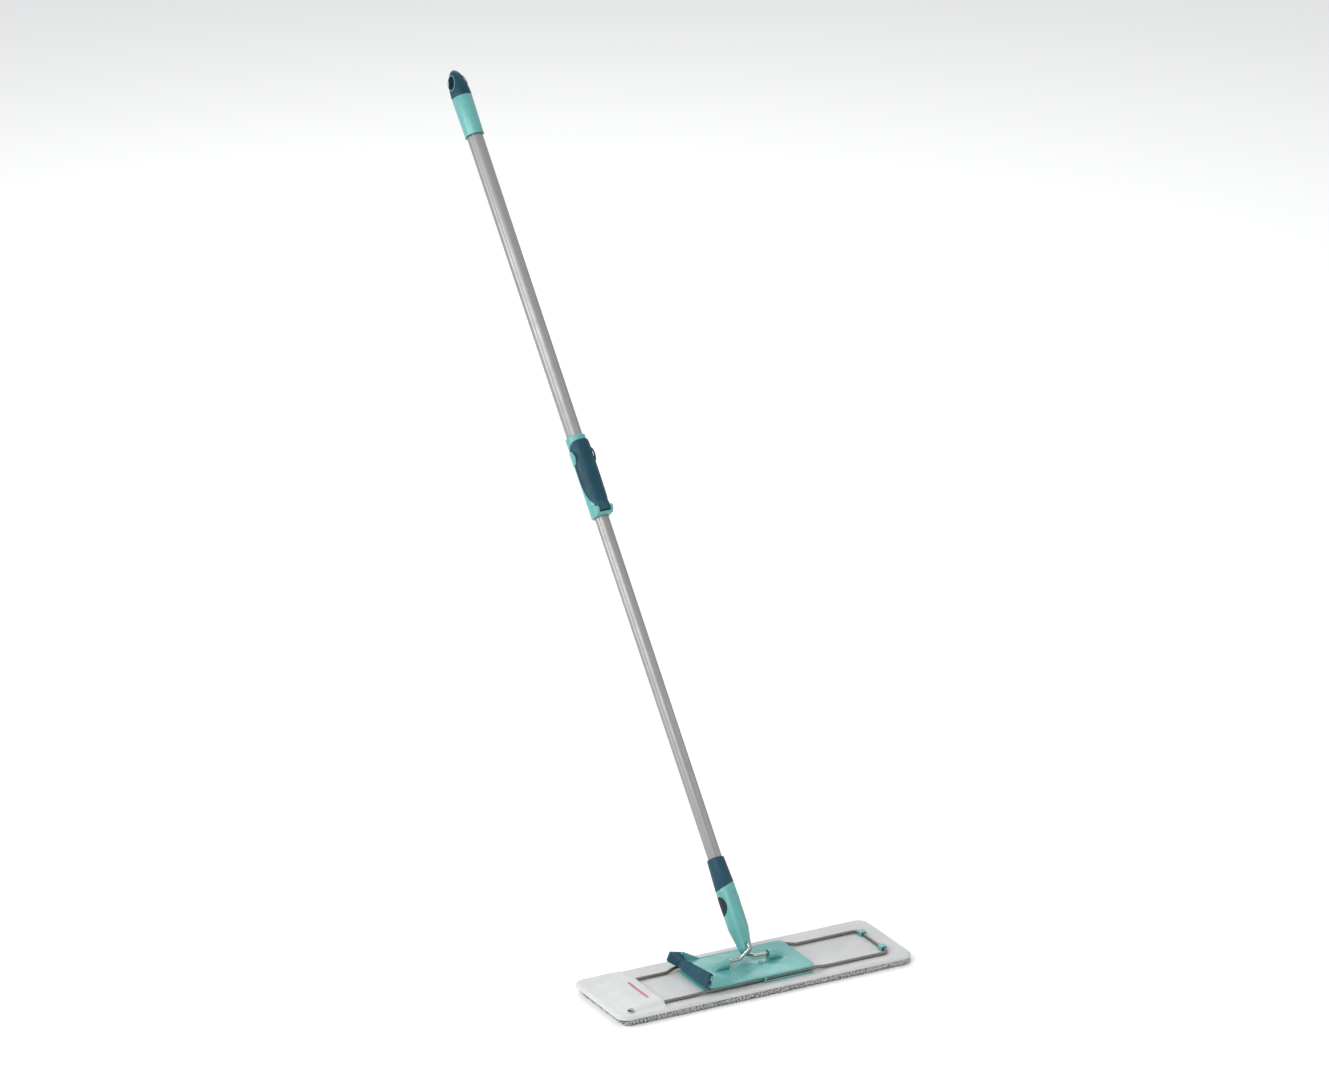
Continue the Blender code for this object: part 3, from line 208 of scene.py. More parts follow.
# moulded plastics: fine spark texture, slow colour drift, paler edges (partly wear, partly painted
# highlight), faint scuffs
def mouldedPlastic(name, look, turn=(0, 0, 0)):
    surface, nodes, links, shader = startMaterial(name, look["roughness"], 0.0, look["shine"])
    place = objectPlace(nodes, links, turn)
    drift = rangeOf(nodes, links, noiseAt(nodes, links, place, 22, 3), 0.3, 0.7, 0, 1)
    base = mixColours(nodes, links, drift, look["deep"], look["pale"])
    along = objectPlace(nodes, links, turn, look["flow"])
    flow = rangeOf(nodes, links, noiseAt(nodes, links, along, 60, 2), 0.42, 0.75, 0, look["flowShare"])
    base = mixColours(nodes, links, flow, base, look["worn"])
    # pale colour on sharp edges from pointiness: partly edge wear, partly painted highlight where edges catch
    # light
    geometry = nodes.new("ShaderNodeNewGeometry")
    edge = rangeOf(nodes, links, geometry.outputs["Pointiness"], 0.53, 0.62, 0, look["edgeWearAndHighlight"])
    patchy = rangeOf(nodes, links, noiseAt(nodes, links, place, 160, 4, 0.65), 0.35, 0.65, 0.2, 1)
    base = mixColours(nodes, links, product(nodes, links, edge, patchy), base, look["worn"])
    links.new(base, shader.inputs["Base Color"])
    scuff = noiseAt(nodes, links, place, 75, 6, 0.7)
    links.new(
        rangeOf(nodes, links, scuff, 0.3, 0.75, look["roughness"] - 0.06, look["roughness"] + 0.16),
        shader.inputs["Roughness"],
    )
    spark = noiseAt(nodes, links, place, look["grain"], 2, 0.6)
    ripple = product(nodes, links, noiseAt(nodes, links, place, 90, 1), 1.5)
    bumpFrom(nodes, links, shader, sumOf(nodes, links, spark, ripple), look["grainDepth"])
    shader.inputs["Subsurface Weight"].default_value = look["depth"]
    shader.inputs["Subsurface Radius"].default_value = (0.002, 0.003, 0.003)
    shader.inputs["Subsurface Scale"].default_value = 0.4
    return surface


tealLook = {
    "deep": (0.072, 0.275, 0.258), "pale": (0.096, 0.320, 0.303), "worn": (0.30, 0.56, 0.56),
    "roughness": 0.30, "shine": 0.5, "flow": (1, 1, 9), "flowShare": 0.10, "edgeWearAndHighlight": 0.55,
    "grain": 1500, "grainDepth": 0.00012, "depth": 0.04,
}
navyLook = {
    "deep": (0.004, 0.036, 0.058), "pale": (0.007, 0.050, 0.078), "worn": (0.060, 0.160, 0.205),
    "roughness": 0.42, "shine": 0.22, "flow": (1, 1, 9), "flowShare": 0.10, "edgeWearAndHighlight": 0.5,
    "grain": 1300, "grainDepth": 0.00014, "depth": 0.0,
}
buttonLook = {
    "deep": (0.004, 0.020, 0.021), "pale": (0.008, 0.030, 0.031), "worn": (0.04, 0.09, 0.09),
    "roughness": 0.46, "shine": 0.2, "flow": (1, 1, 6), "flowShare": 0.08, "edgeWearAndHighlight": 0.4,
    "grain": 900, "grainDepth": 0.00018, "depth": 0.0,
}
bushLook = {
    "deep": (0.035, 0.035, 0.038), "pale": (0.055, 0.055, 0.060), "worn": (0.14, 0.14, 0.15),
    "roughness": 0.5, "shine": 0.4, "flow": (1, 1, 6), "flowShare": 0.1, "edgeWearAndHighlight": 0.3,
    "grain": 900, "grainDepth": 0.00012, "depth": 0.0,
}
tealHead = mouldedPlastic("tealHeadPlastic", tealLook)
tealHandle = mouldedPlastic("tealHandlePlastic", tealLook, handleTurn)
navyHead = mouldedPlastic("navyHeadPlastic", navyLook)
navyHandle = mouldedPlastic("navyHandlePlastic", navyLook, handleTurn)
buttonPlastic = mouldedPlastic("darkButtonPlastic", buttonLook, handleTurn)
bushPlastic = mouldedPlastic("guideBushPlastic", bushLook, handleTurn)


# metals: drawn or brushed lines along the part, small stains, broken highlights
def drawnMetal(name, look, turn=(0, 0, 0)):
    surface, nodes, links, shader = startMaterial(name, look["roughness"], look["metallic"])
    place = objectPlace(nodes, links, turn)
    along = objectPlace(nodes, links, turn, look["grainStretch"])
    lines = noiseAt(nodes, links, along, look["grain"], 4, 0.6)
    cloudy = noiseAt(nodes, links, place, look["cloud"], 4, 0.6)
    base = mixColours(nodes, links, rangeOf(nodes, links, lines, 0.3, 0.7, 0, 1), look["deep"], look["pale"])
    stain = rangeOf(nodes, links, cloudy, 0.52, 0.78, 0, look["stainShare"])
    base = mixColours(nodes, links, stain, base, look["stain"])
    links.new(base, shader.inputs["Base Color"])
    smoothest, roughest = look["roughness"] - 0.07, look["roughness"] + 0.12
    rough = rangeOf(nodes, links, sumOf(nodes, links, lines, cloudy), 0.6, 1.4, smoothest, roughest)
    links.new(rough, shader.inputs["Roughness"])
    fine = product(nodes, links, noiseAt(nodes, links, place, 1800, 2), 0.5)
    bumpFrom(nodes, links, shader, sumOf(nodes, links, lines, fine), look["grainDepth"])
    return surface


tubeLook = {
    "deep": (0.235, 0.235, 0.232), "pale": (0.335, 0.335, 0.33),
    "stain": (0.19, 0.19, 0.185), "stainShare": 0.25,
    "roughness": 0.44, "metallic": 0.6, "grain": 1600, "grainStretch": (1, 1, 400), "cloud": 40,
    "grainDepth": 0.000012,
}
wireLook = {
    "deep": (0.155, 0.145, 0.130), "pale": (0.255, 0.240, 0.218),
    "stain": (0.10, 0.092, 0.08), "stainShare": 0.5,
    "roughness": 0.33, "metallic": 0.95, "grain": 420, "grainStretch": (1, 1, 1), "cloud": 110,
    "grainDepth": 0.00010,
}
bailLook = {**wireLook, "deep": (0.36, 0.35, 0.34), "pale": (0.55, 0.54, 0.52), "roughness": 0.22}
springLook = {**wireLook, "deep": (0.40, 0.40, 0.40), "pale": (0.55, 0.55, 0.54), "roughness": 0.25}
eyeletLook = {
    "deep": (0.30, 0.31, 0.32), "pale": (0.46, 0.47, 0.48),
    "stain": (0.16, 0.16, 0.16), "stainShare": 0.5,
    "roughness": 0.26, "metallic": 1.0, "grain": 300, "grainStretch": (1, 1, 1), "cloud": 260,
    "grainDepth": 0.00008,
}
tubeMetal = drawnMetal("satinTubeMetal", tubeLook, handleTurn)
frameWire = drawnMetal("frameWireSteel", wireLook)
bailSteel = drawnMetal("bailWireSteel", bailLook)
springSteel = drawnMetal("springSteel", springLook)
eyeletMetal = drawnMetal("eyeletMetal", eyeletLook)


# grey rubber of the pad inside the clamp
def rubberSurface():
    surface, nodes, links, shader = startMaterial("greyPadRubber", 0.75)
    place = objectPlace(nodes, links)
    dust = rangeOf(nodes, links, noiseAt(nodes, links, place, 140, 5, 0.7), 0.35, 0.7, 0, 1)
    tone = mixColours(nodes, links, dust, (0.05, 0.05, 0.052), (0.12, 0.12, 0.12))
    links.new(tone, shader.inputs["Base Color"])
    bumpFrom(nodes, links, shader, noiseAt(nodes, links, place, 1200, 3), 0.0001)
    return surface


padRubber = rubberSurface()


# woven cloth of the cover: fine plain weave with uneven threads, a little shading in the hollows
def wovenCloth(name, look):
    surface, nodes, links, shader = startMaterial(name, 0.9, 0.0, 0.2)
    place = objectPlace(nodes, links)
    heights = []
    for axis in ("X", "Y"):
        wave = nodes.new("ShaderNodeTexWave")
        wave.bands_direction = axis
        wave.inputs["Scale"].default_value = look["threads"]
        wave.inputs["Distortion"].default_value = 1.2
        wave.inputs["Detail"].default_value = 2
        wave.inputs["Detail Scale"].default_value = 1.5
        links.new(place, wave.inputs["Vector"])
        heights.append(wave.outputs["Fac"])
    weave = sumOf(nodes, links, *heights)
    fuzz = noiseAt(nodes, links, place, 900, 4, 0.7)
    soft = noiseAt(nodes, links, place, 26, 4, 0.6)
    tone = mixColours(nodes, links, rangeOf(nodes, links, soft, 0.3, 0.7, 0, 1), look["deep"], look["pale"])
    hollow = rangeOf(nodes, links, weave, 0.1, 1.5, look["threadShade"], 0)
    tone = mixColours(nodes, links, hollow, tone, look["shade"])
    tone = mixColours(nodes, links, rangeOf(nodes, links, fuzz, 0.45, 0.75, 0, 0.25), tone, look["shade"])
    if "printBar" in look:  # plain printed bar on the pocket
        bar = look["printBar"]
        split = nodes.new("ShaderNodeSeparateXYZ")
        links.new(place, split.inputs["Vector"])
        inside = []
        for channel, (low, high) in ((0, bar["x"]), (1, bar["y"])):
            ragged = noiseAt(nodes, links, place, 700, 3)
            rough = product(nodes, links, rangeOf(nodes, links, ragged, 0, 1, -1, 1), 0.0004)
            at = sumOf(nodes, links, split.outputs[channel], rough)
            rise = rangeOf(nodes, links, at, low - 0.0002, low + 0.0002, 0, 1)
            fall = rangeOf(nodes, links, at, high - 0.0002, high + 0.0002, 1, 0)
            inside.append(product(nodes, links, rise, fall))
        mask = product(nodes, links, inside[0], inside[1])
        worn = rangeOf(nodes, links, noiseAt(nodes, links, place, 500, 4, 0.7), 0.3, 0.75, 1.0, 0.55)
        tone = mixColours(nodes, links, product(nodes, links, mask, worn), tone, bar["colour"])
    links.new(tone, shader.inputs["Base Color"])
    total = sumOf(nodes, links, weave, fuzz, product(nodes, links, soft, 4.0))
    bumpFrom(nodes, links, shader, total, look["threadDepth"])
    shader.inputs["Sheen Weight"].default_value = 0.25
    shader.inputs["Sheen Roughness"].default_value = 0.6
    return surface


clothLook = {
    "deep": (0.53, 0.54, 0.54), "pale": (0.61, 0.62, 0.62), "shade": (0.40, 0.41, 0.41),
    "threadShade": 0.30, "threads": 330, "threadDepth": 0.00022,
}
pocketLook = {
    **clothLook, "threads": 420, "threadDepth": 0.00014, "threadShade": 0.2,
    "printBar": {"x": (-0.1800, -0.1752), "y": (-0.028, 0.032), "colour": (0.42, 0.020, 0.035)},
}
backingCloth = wovenCloth("backingCloth", clothLook)
pocketCloth = wovenCloth("pocketCloth", pocketLook)


def pileSurface(look):
    surface, nodes, links, shader = startMaterial("fluffyPile", 0.95, 0.0, 0.15)
    place = objectPlace(nodes, links)
    loops = nodes.new("ShaderNodeTexVoronoi")
    loops.inputs["Scale"].default_value = look["loops"]
    links.new(place, loops.inputs["Vector"])
    fibre = noiseAt(nodes, links, place, 1400, 5, 0.75)
    soft = noiseAt(nodes, links, place, 60, 4, 0.6)
    tone = mixColours(nodes, links, rangeOf(nodes, links, soft, 0.3, 0.7, 0, 1), look["deep"], look["pale"])
    between = rangeOf(nodes, links, loops.outputs["Distance"], 0.25, 0.75, 0, 0.5)
    tone = mixColours(nodes, links, between, tone, look["shade"])
    tone = mixColours(nodes, links, rangeOf(nodes, links, fibre, 0.45, 0.75, 0, 0.35), tone, look["shade"])
    links.new(tone, shader.inputs["Base Color"])
    rounded = rangeOf(nodes, links, loops.outputs["Distance"], 0, 1, 3, 0)
    bumpFrom(nodes, links, shader, sumOf(nodes, links, rounded, fibre), look["loopDepth"])
    shader.inputs["Sheen Weight"].default_value = 0.4
    shader.inputs["Sheen Roughness"].default_value = 0.5
    return surface


pileLook = {
    "deep": (0.50, 0.50, 0.49), "pale": (0.68, 0.68, 0.67), "shade": (0.22, 0.22, 0.22), "loops": 260,
    "loopDepth": 0.0012,
}
fluffyPile = pileSurface(pileLook)
print("materials ready")


# hard parts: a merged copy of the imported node, with its sharp edges rounded and its curves smoothed
def refine(node, name, body, slotName, surface, edge=0.0004, angle=30, segments=2, smoothAngle=35):
    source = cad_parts[node]
    piece = source.copy()
    piece.data = source.data.copy()
    for key in list(piece.keys()):
        del piece[key]
    bpy.context.scene.collection.objects.link(piece)
    piece.parent = None
    piece.matrix_world = Matrix.Identity(4)
    editAll(piece)
    bpy.ops.mesh.remove_doubles(threshold=0.00001)
    bpy.ops.mesh.dissolve_limited(angle_limit=math.radians(0.6))
    backToObject()
    if edge:
        addModifier(
            piece, "BEVEL", width=edge, segments=segments, limit_method="ANGLE",
            angle_limit=math.radians(angle), use_clamp_overlap=True, miter_outer="MITER_ARC",
        )
    smooth(piece, smoothAngle)
    return finishPiece(piece, name, body, slotName, surface, node)


hardParts = {  # CAD node: piece, body, slot, material, rounding of its edges
    "upper_tube": ("upperTube", "upper_handle", "handle_tube", tubeMetal, 0.0002),
    "grip_sleeve": ("gripSleeve", "upper_handle", "teal_plastic", tealHandle, 0.0005),
    "hang_cap": ("hangCap", "upper_handle", "navy_plastic", navyHandle, 0.0007),
    "clamp_housing": ("clampHousing", "upper_handle", "teal_plastic", tealHandle, 0.0004),
    "clamp_lever": ("clampLever", "clamp_lever", "navy_plastic", navyHandle, 0.0004),
    "lever_pin": ("leverPin", "upper_handle", "steel_wire", springSteel, 0.0002),
    "friction_pad": ("frictionPad", "upper_handle", "pad_rubber", padRubber, 0.0002),
    "lower_tube": ("lowerTube", "lower_handle", "handle_tube", tubeMetal, 0.0002),
    "guide_bush": ("guideBush", "lower_handle", "bush_plastic", bushPlastic, 0.0003),
    "tube_collar": ("tubeCollar", "lower_handle", "navy_plastic", navyHandle, 0.0005),
    "joint_cone": ("jointCone", "joint_cone", "teal_plastic", tealHandle, 0.0005),
    "release_button": ("releaseButton", "release_button", "dark_button", buttonPlastic, 0.0006),
    "button_spring": ("buttonSpring", "joint_cone", "spring_steel", springSteel, 0),
    "bail_wire": ("bailWire", "bail", "steel_wire", bailSteel, 0.0003),
    "centre_plate": ("centrePlate", "head", "teal_plastic", tealHead, 0.0005),
    "right_frame": ("rightFrame", "head", "steel_wire", frameWire, 0.0003),
    "left_frame": ("leftFrame", "left_frame", "steel_wire", frameWire, 0.0003),
    "cover_clip_front": ("clipFront", "head", "teal_plastic", tealHead, 0.0003),
    "cover_clip_back": ("clipBack", "head", "teal_plastic", tealHead, 0.0003),
    "pedal": ("footPedal", "pedal", "navy_plastic", navyHead, 0.0006),
    "pedal_pin": ("pedalPin", "head", "steel_wire", springSteel, 0.0002),
    "pedal_spring": ("pedalSpring", "head", "spring_steel", springSteel, 0),
}
for node, (name, body, slotName, surface, edge) in hardParts.items():
    piece = refine(node, name, body, slotName, surface, edge)
    if node == "button_spring":  # gets a mesh of its own; the real spring is pressed together against the cone's far wall when the button goes in
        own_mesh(piece)
print("hard parts refined")


# painted highlight rings round the hanging hole (pale rims for the bevelled edge catching light), and a dark
# ring at the sleeve's foot as painted shade for the shadow gap there, placed up the handle
cap = {
    "turn": -12.0, "foot": 1.354, "holeRise": 0.0232, "halfLow": 0.0160, "halfHigh": 0.0062, "height": 0.043,
    "rimWide": 0.0088, "rimLong": 0.0117, "rimThick": 0.00055, "rimShare": 0.06,
}
sleeveShadeRing = {"height": 1.2912, "radius": 0.01425, "thick": 0.00045}


def ringPiece(name, radius, thick, surface, slotName, place, squash=(1, 1, 1)):
    deselectAll()
    bpy.ops.mesh.primitive_torus_add(
        major_radius=radius, minor_radius=thick, major_segments=64, minor_segments=10,
    )
    piece = bpy.context.object
    editAll(piece)
    bpy.ops.transform.resize(value=squash)
    bpy.ops.mesh.select_all(action="DESELECT")
    backToObject()
    piece.matrix_world = place
    smooth(piece, 60)
    return finishPiece(piece, name, "upper_handle", slotName, surface)


# painted highlight: pale plastic for the rings round the hanging hole, standing in for the bevelled edge
# catching light
rimHighlightLook = {
    **navyLook, "deep": (0.10, 0.21, 0.25), "pale": (0.17, 0.30, 0.34), "worn": (0.32, 0.45, 0.48),
    "shine": 0.5,
}
rimHighlightPlastic = mouldedPlastic("capRimHighlightPlastic", rimHighlightLook, handleTurn)
lean = math.atan2(cap["halfLow"] - cap["halfHigh"], cap["height"])
share = cap["holeRise"] / cap["height"]
reach = cap["halfLow"] + (cap["halfHigh"] - cap["halfLow"]) * share
for side, word in ((-1, "Left"), (1, "Right")):
    facetPlace = (
        handlePlace @ Matrix.Rotation(math.radians(-cap["turn"]), 4, "Z")
        @ Matrix.Translation((side * reach, 0, cap["foot"] + cap["holeRise"]))
        @ Matrix.Rotation(side * (math.pi / 2 - lean), 4, "Y")
    )
    oval = (cap["rimLong"], cap["rimWide"], cap["rimThick"] / cap["rimShare"])
    ringPiece("capRim" + word, 1.0, cap["rimShare"], rimHighlightPlastic, "navy_plastic", facetPlace, oval)
# painted shade: a dark navy ring at the sleeve's foot, standing for the shadow in the gap there
shadeRingPlace = handlePlace @ Matrix.Translation((0, 0, sleeveShadeRing["height"]))
ringPiece("sleeveShadeRing", sleeveShadeRing["radius"], sleeveShadeRing["thick"], navyHandle, "navy_plastic", shadeRingPlace)
print("cap and sleeve details made")


# fluffy cover: backing cloth, pile under it, pocket over its left end, eyelet through both
cover = {
    "corner": 0.0160, "cornerCuts": 8, "rimRadius": 0.0036, "rimFoot": 0.0100, "foot": 0.002, "cloth": 0.0011,
    "cell": 0.0022, "puckerSize": 0.034, "puckerHeight": 0.0016, "seamInset": 0.0085, "seamWidth": 0.0012,
    "seamDepth": 0.0006, "eyeletHole": 0.0046,
}
pile = {
    "inset": 0.0022, "leftInset": 0.0085, "low": 0.0022, "high": 0.0122, "cell": 0.0018, "cornerLess": 0.004,
    "loopSize": 0.0046, "loopHeight": 0.0042, "fibreSize": 0.0016, "fibreHeight": 0.0012,
    "fluffFrom": 0.0085, "fluffTo": 0.0105, "floor": 0.0002, "ceiling": 0.0129,
}
pileLowest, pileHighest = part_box("cover_pile")
backingLowest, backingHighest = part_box("cover_backing")
eyeletLowest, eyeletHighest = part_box("eyelet")
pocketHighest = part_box("pocket_flap")[1]
eyeletCentre = (eyeletLowest + eyeletHighest) / 2


def roundedSlab(name, left, right, front, back, low, high, corner, topRound=0.0):
    deselectAll()
    bpy.ops.mesh.primitive_cube_add(size=1)
    piece = bpy.context.object
    piece.name = name
    editAll(piece)
    bpy.ops.transform.resize(value=(right - left, back - front, high - low))
    bpy.ops.transform.translate(value=((left + right) / 2, (front + back) / 2, (low + high) / 2))
    selectEdges(piece, lambda a, b: abs(a.z - b.z) > 0.0001)
    bpy.ops.mesh.bevel(offset=corner, segments=cover["cornerCuts"], affect="EDGES")
    if topRound:
        selectEdges(piece, lambda a, b: min(a.z, b.z) > high - 0.0001)
        bpy.ops.mesh.bevel(offset=topRound, segments=6, affect="EDGES")
    backToObject()
    return piece


def selectEdges(piece, chosen):
    takeUp(piece)
    bpy.ops.object.mode_set(mode="EDIT")
    bpy.ops.mesh.select_mode(type="EDGE")
    bpy.ops.mesh.select_all(action="DESELECT")
    shape = bmesh.from_edit_mesh(piece.data)
    for edge in shape.edges:
        a, b = (vert.co for vert in edge.verts)
        edge.select_set(bool(chosen(a, b)))
    bmesh.update_edit_mesh(piece.data)


def selectFaces(piece, chosen):
    takeUp(piece)
    bpy.ops.object.mode_set(mode="EDIT")
    bpy.ops.mesh.select_mode(type="FACE")
    bpy.ops.mesh.select_all(action="DESELECT")
    shape = bmesh.from_edit_mesh(piece.data)
    for face in shape.faces:
        face.select_set(bool(chosen(face.calc_center_median(), face.normal)))
    bmesh.update_edit_mesh(piece.data)


def moveVertices(piece, shift):
    places = [shift(vertex.co.copy()) for vertex in piece.data.vertices]
    piece.data.vertices.foreach_set("co", [value for place in places for value in place])
    piece.data.update()


def weighVertices(piece, name, weight):
    levels = {}
    for vertex in piece.data.vertices:
        levels.setdefault(round(weight(vertex.co) * 24), []).append(vertex.index)
    group = piece.vertex_groups.new(name=name)
    for level, members in levels.items():
        group.add(members, level / 24, "REPLACE")


def cloudTexture(name, kind, size, depth=2):
    texture = bpy.data.textures.new(name, kind)
    texture.noise_scale = size
    if hasattr(texture, "noise_depth"):
        texture.noise_depth = depth
    return texture


def inFromEdge(x, y):  # how far a point lies inside the cover's outline
    left, right = backingLowest.x - 0.001, backingHighest.x + 0.001
    front, back = backingLowest.y - 0.001, backingHighest.y + 0.001
    corner = cover["corner"]
    acrossX = max(left + corner - x, x - right + corner, 0)
    acrossY = max(front + corner - y, y - back + corner, 0)
    if acrossX > 0 and acrossY > 0:
        return corner - math.hypot(acrossX, acrossY)
    return min(x - left, right - x, y - front, back - y)


def smoothStep(value, low, high):
    share = min(1, max(0, (value - low) / (high - low)))
    return share * share * (3 - 2 * share)


def punchEyelet(piece, radius):
    deselectAll()
    bpy.ops.mesh.primitive_cylinder_add(vertices=32, radius=radius, depth=0.04, location=eyeletCentre)
    punch = bpy.context.object
    addModifier(piece, "BOOLEAN", object=punch, operation="DIFFERENCE", solver="EXACT")
    bpy.data.objects.remove(punch)


def makeBacking():
    piece = roundedSlab(
        "coverBacking", pileLowest.x, pileHighest.x, pileLowest.y, pileHighest.y,
        cover["foot"], backingHighest.z, cover["corner"], cover["rimRadius"],
    )
    addModifier(piece, "REMESH", mode="VOXEL", voxel_size=cover["cell"])
    addModifier(piece, "SMOOTH", factor=0.5, iterations=3)
    selectFaces(piece, lambda centre, normal: centre.z < cover["rimFoot"])
    bpy.ops.mesh.delete(type="FACE")
    backToObject()
    weighVertices(piece, "loose", lambda at: smoothStep(inFromEdge(at.x, at.y), 0.006, 0.022))
    pucker = cloudTexture("pucker", "CLOUDS", cover["puckerSize"], 2)
    addModifier(
        piece, "DISPLACE", texture=pucker, texture_coords="LOCAL", direction="Z", mid_level=0.62,
        strength=cover["puckerHeight"], vertex_group="loose",
    )

    def pressSeam(at):
        gap = abs(inFromEdge(at.x, at.y) - cover["seamInset"])
        if at.z > cover["rimFoot"] and gap < 2 * cover["seamWidth"]:
            at.z -= cover["seamDepth"] * (1 - smoothStep(gap, 0, 2 * cover["seamWidth"]))
        return at

    moveVertices(piece, pressSeam)
    addModifier(piece, "SOLIDIFY", thickness=cover["cloth"], offset=-1)
    punchEyelet(piece, cover["eyeletHole"])
    smooth(piece, 40)
    finishPiece(piece, "coverBacking", None, "backing_cloth", backingCloth, "cover_backing")
    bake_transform(piece)
    return piece


def makePile():
    piece = roundedSlab(
        "coverPile", pileLowest.x + pile["leftInset"], pileHighest.x - pile["inset"],
        pileLowest.y + pile["inset"], pileHighest.y - pile["inset"], pile["low"], pile["high"],
        cover["corner"] - pile["cornerLess"],
    )
    addModifier(piece, "REMESH", mode="VOXEL", voxel_size=pile["cell"])
    addModifier(piece, "SMOOTH", factor=0.5, iterations=2)

    def fluff(at):
        return 1 - 0.85 * smoothStep(at.z, pile["fluffFrom"], pile["fluffTo"])

    weighVertices(piece, "fluff", fluff)
    loops = cloudTexture("loops", "VORONOI", pile["loopSize"])
    fibres = cloudTexture("fibres", "CLOUDS", pile["fibreSize"], 3)
    addModifier(
        piece, "DISPLACE", texture=loops, texture_coords="LOCAL", direction="NORMAL", mid_level=0.45,
        strength=-pile["loopHeight"], vertex_group="fluff",
    )
    addModifier(
        piece, "DISPLACE", texture=fibres, texture_coords="LOCAL", direction="NORMAL", mid_level=0.5,
        strength=pile["fibreHeight"], vertex_group="fluff",
    )

    def keepInside(at):
        at.z = min(max(at.z, pile["floor"]), pile["ceiling"])
        return at

    moveVertices(piece, keepInside)
    smooth(piece, 60)
    finishPiece(piece, "coverPile", None, "pile", fluffyPile, "cover_pile")
    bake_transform(piece)
    return piece


tufts = {
    "rows": ((0.0019, 0.0040), (0.0043, 0.0024), (0.0066, 0.0020), (0.0087, 0.0026)), "pitch": 0.0054,
    "length": 0.0056, "width": 0.0033, "ragged": 0.0004, "scatter": 0.0006,
}


def rimPoint(travel, inset):  # a place on the cover's outline, pulled in by inset, with the way out from it
    left, right = pileLowest.x + inset, pileHighest.x - inset
    front, back = pileLowest.y + inset, pileHighest.y - inset
    corner = cover["corner"] - inset
    sides = (
        ((left + corner, front), (1, 0), right - left - 2 * corner, (right - corner, front + corner), -90),
        ((right, front + corner), (0, 1), back - front - 2 * corner, (right - corner, back - corner), 0),
        ((right - corner, back), (-1, 0), right - left - 2 * corner, (left + corner, back - corner), 90),
        ((left, back - corner), (0, -1), back - front - 2 * corner, (left + corner, front + corner), 180),
    )
    bend = corner * math.pi / 2
    for begin, way, length, centre, angle in sides:
        if travel <= length:
            return begin[0] + way[0] * travel, begin[1] + way[1] * travel, math.radians(angle)
        travel -= length
        if travel <= bend:
            turn = math.radians(angle) + travel / corner
            return centre[0] + corner * math.cos(turn), centre[1] + corner * math.sin(turn), turn
        travel -= bend
    return None


def joined(copies):
    deselectAll()
    for copy in copies:
        copy.select_set(True)
    bpy.context.view_layer.objects.active = copies[0]
    bpy.ops.object.join()
    return bpy.context.object


def makeTufts():
    deselectAll()
    bpy.ops.mesh.primitive_uv_sphere_add(segments=8, ring_count=6, radius=1)
    tuft = bpy.context.object
    tuft.name = "tuft"
    editAll(tuft)
    bpy.ops.transform.resize(value=(tufts["length"] / 2, tufts["width"] / 2, tufts["width"] / 2))
    bpy.ops.transform.vertex_random(offset=tufts["ragged"], seed=3)
    backToObject()
    copies = []
    for height, inset in tufts["rows"]:
        travel = random.uniform(0, tufts["pitch"])
        while True:
            spot = rimPoint(travel, inset)
            if spot is None:
                break
            x, y, out = spot
            if x < pileLowest.x + pile["leftInset"] * 1.2:  # the pile starts further in at the pocket's end
                inward = smoothStep(-x, -pileLowest.x - 0.03, -pileLowest.x - 0.004)
                x += max(0.0, pile["leftInset"] - inset) * inward
            copy = tuft.copy()
            copy.data = tuft.data.copy()
            bpy.context.scene.collection.objects.link(copy)
            size = random.uniform(0.7, 1.25)
            scatter = tufts["scatter"]
            copy.location = (
                x + random.uniform(-scatter, scatter), y + random.uniform(-scatter, scatter),
                height + random.uniform(-scatter, 0.0008),
            )
            copy.rotation_euler = (
                random.uniform(0, 3), random.uniform(-0.7, 0.7), out + random.uniform(-1.3, 1.3),
            )
            copy.scale = (size, size * random.uniform(0.8, 1.2), size)
            copies.append(copy)
            travel += tufts["pitch"] * random.uniform(0.75, 1.2)
    bpy.data.objects.remove(tuft)
    piece = joined(copies)
    takeUp(piece)
    bpy.ops.object.transform_apply(location=True, rotation=True, scale=True)
    moveVertices(piece, lambda at: Vector((at.x, at.y, max(at.z, 0.0001))))
    smooth(piece, 60)
    finishPiece(piece, "coverLoops", None, "pile", fluffyPile)
    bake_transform(piece)
    return piece


pocket = {
    "proud": 0.0007, "cloth": 0.0009, "cell": 0.0016, "mouth": pocketHighest.x, "wireHalf": 0.0440,
    "wireLift": 0.0060, "sag": 0.0006, "wireEnd": -0.1960, "hem": 0.0075, "hemThickness": 0.0006,
    "hemInset": 0.0055, "hemForward": 0.0006, "clear": 0.0004, "stitchPitch": 0.0036, "stitchLength": 0.0026,
    "stitchWidth": 0.00055, "stitchInset": 0.0075, "stitchLines": (0.0022, 0.0046), "ripple": 0.00022,
}


def pocketLift(x, y):  # how far the cloth stands up over the wire that it holds
    wire = pocket["wireHalf"]
    across = smoothStep(inFromEdge(x, y), 0.006, 0.0185)
    between = pocket["wireLift"] - pocket["sag"] * (1 - smoothStep(abs(y) / wire, 0.2, 1.0))
    endFall = 1 - 0.75 * smoothStep(pocket["wireEnd"] - x, 0.003, 0.026)
    outside = 1 - smoothStep(abs(y) - wire - 0.002, 0.0, 0.012)
    return between * across * endFall * outside


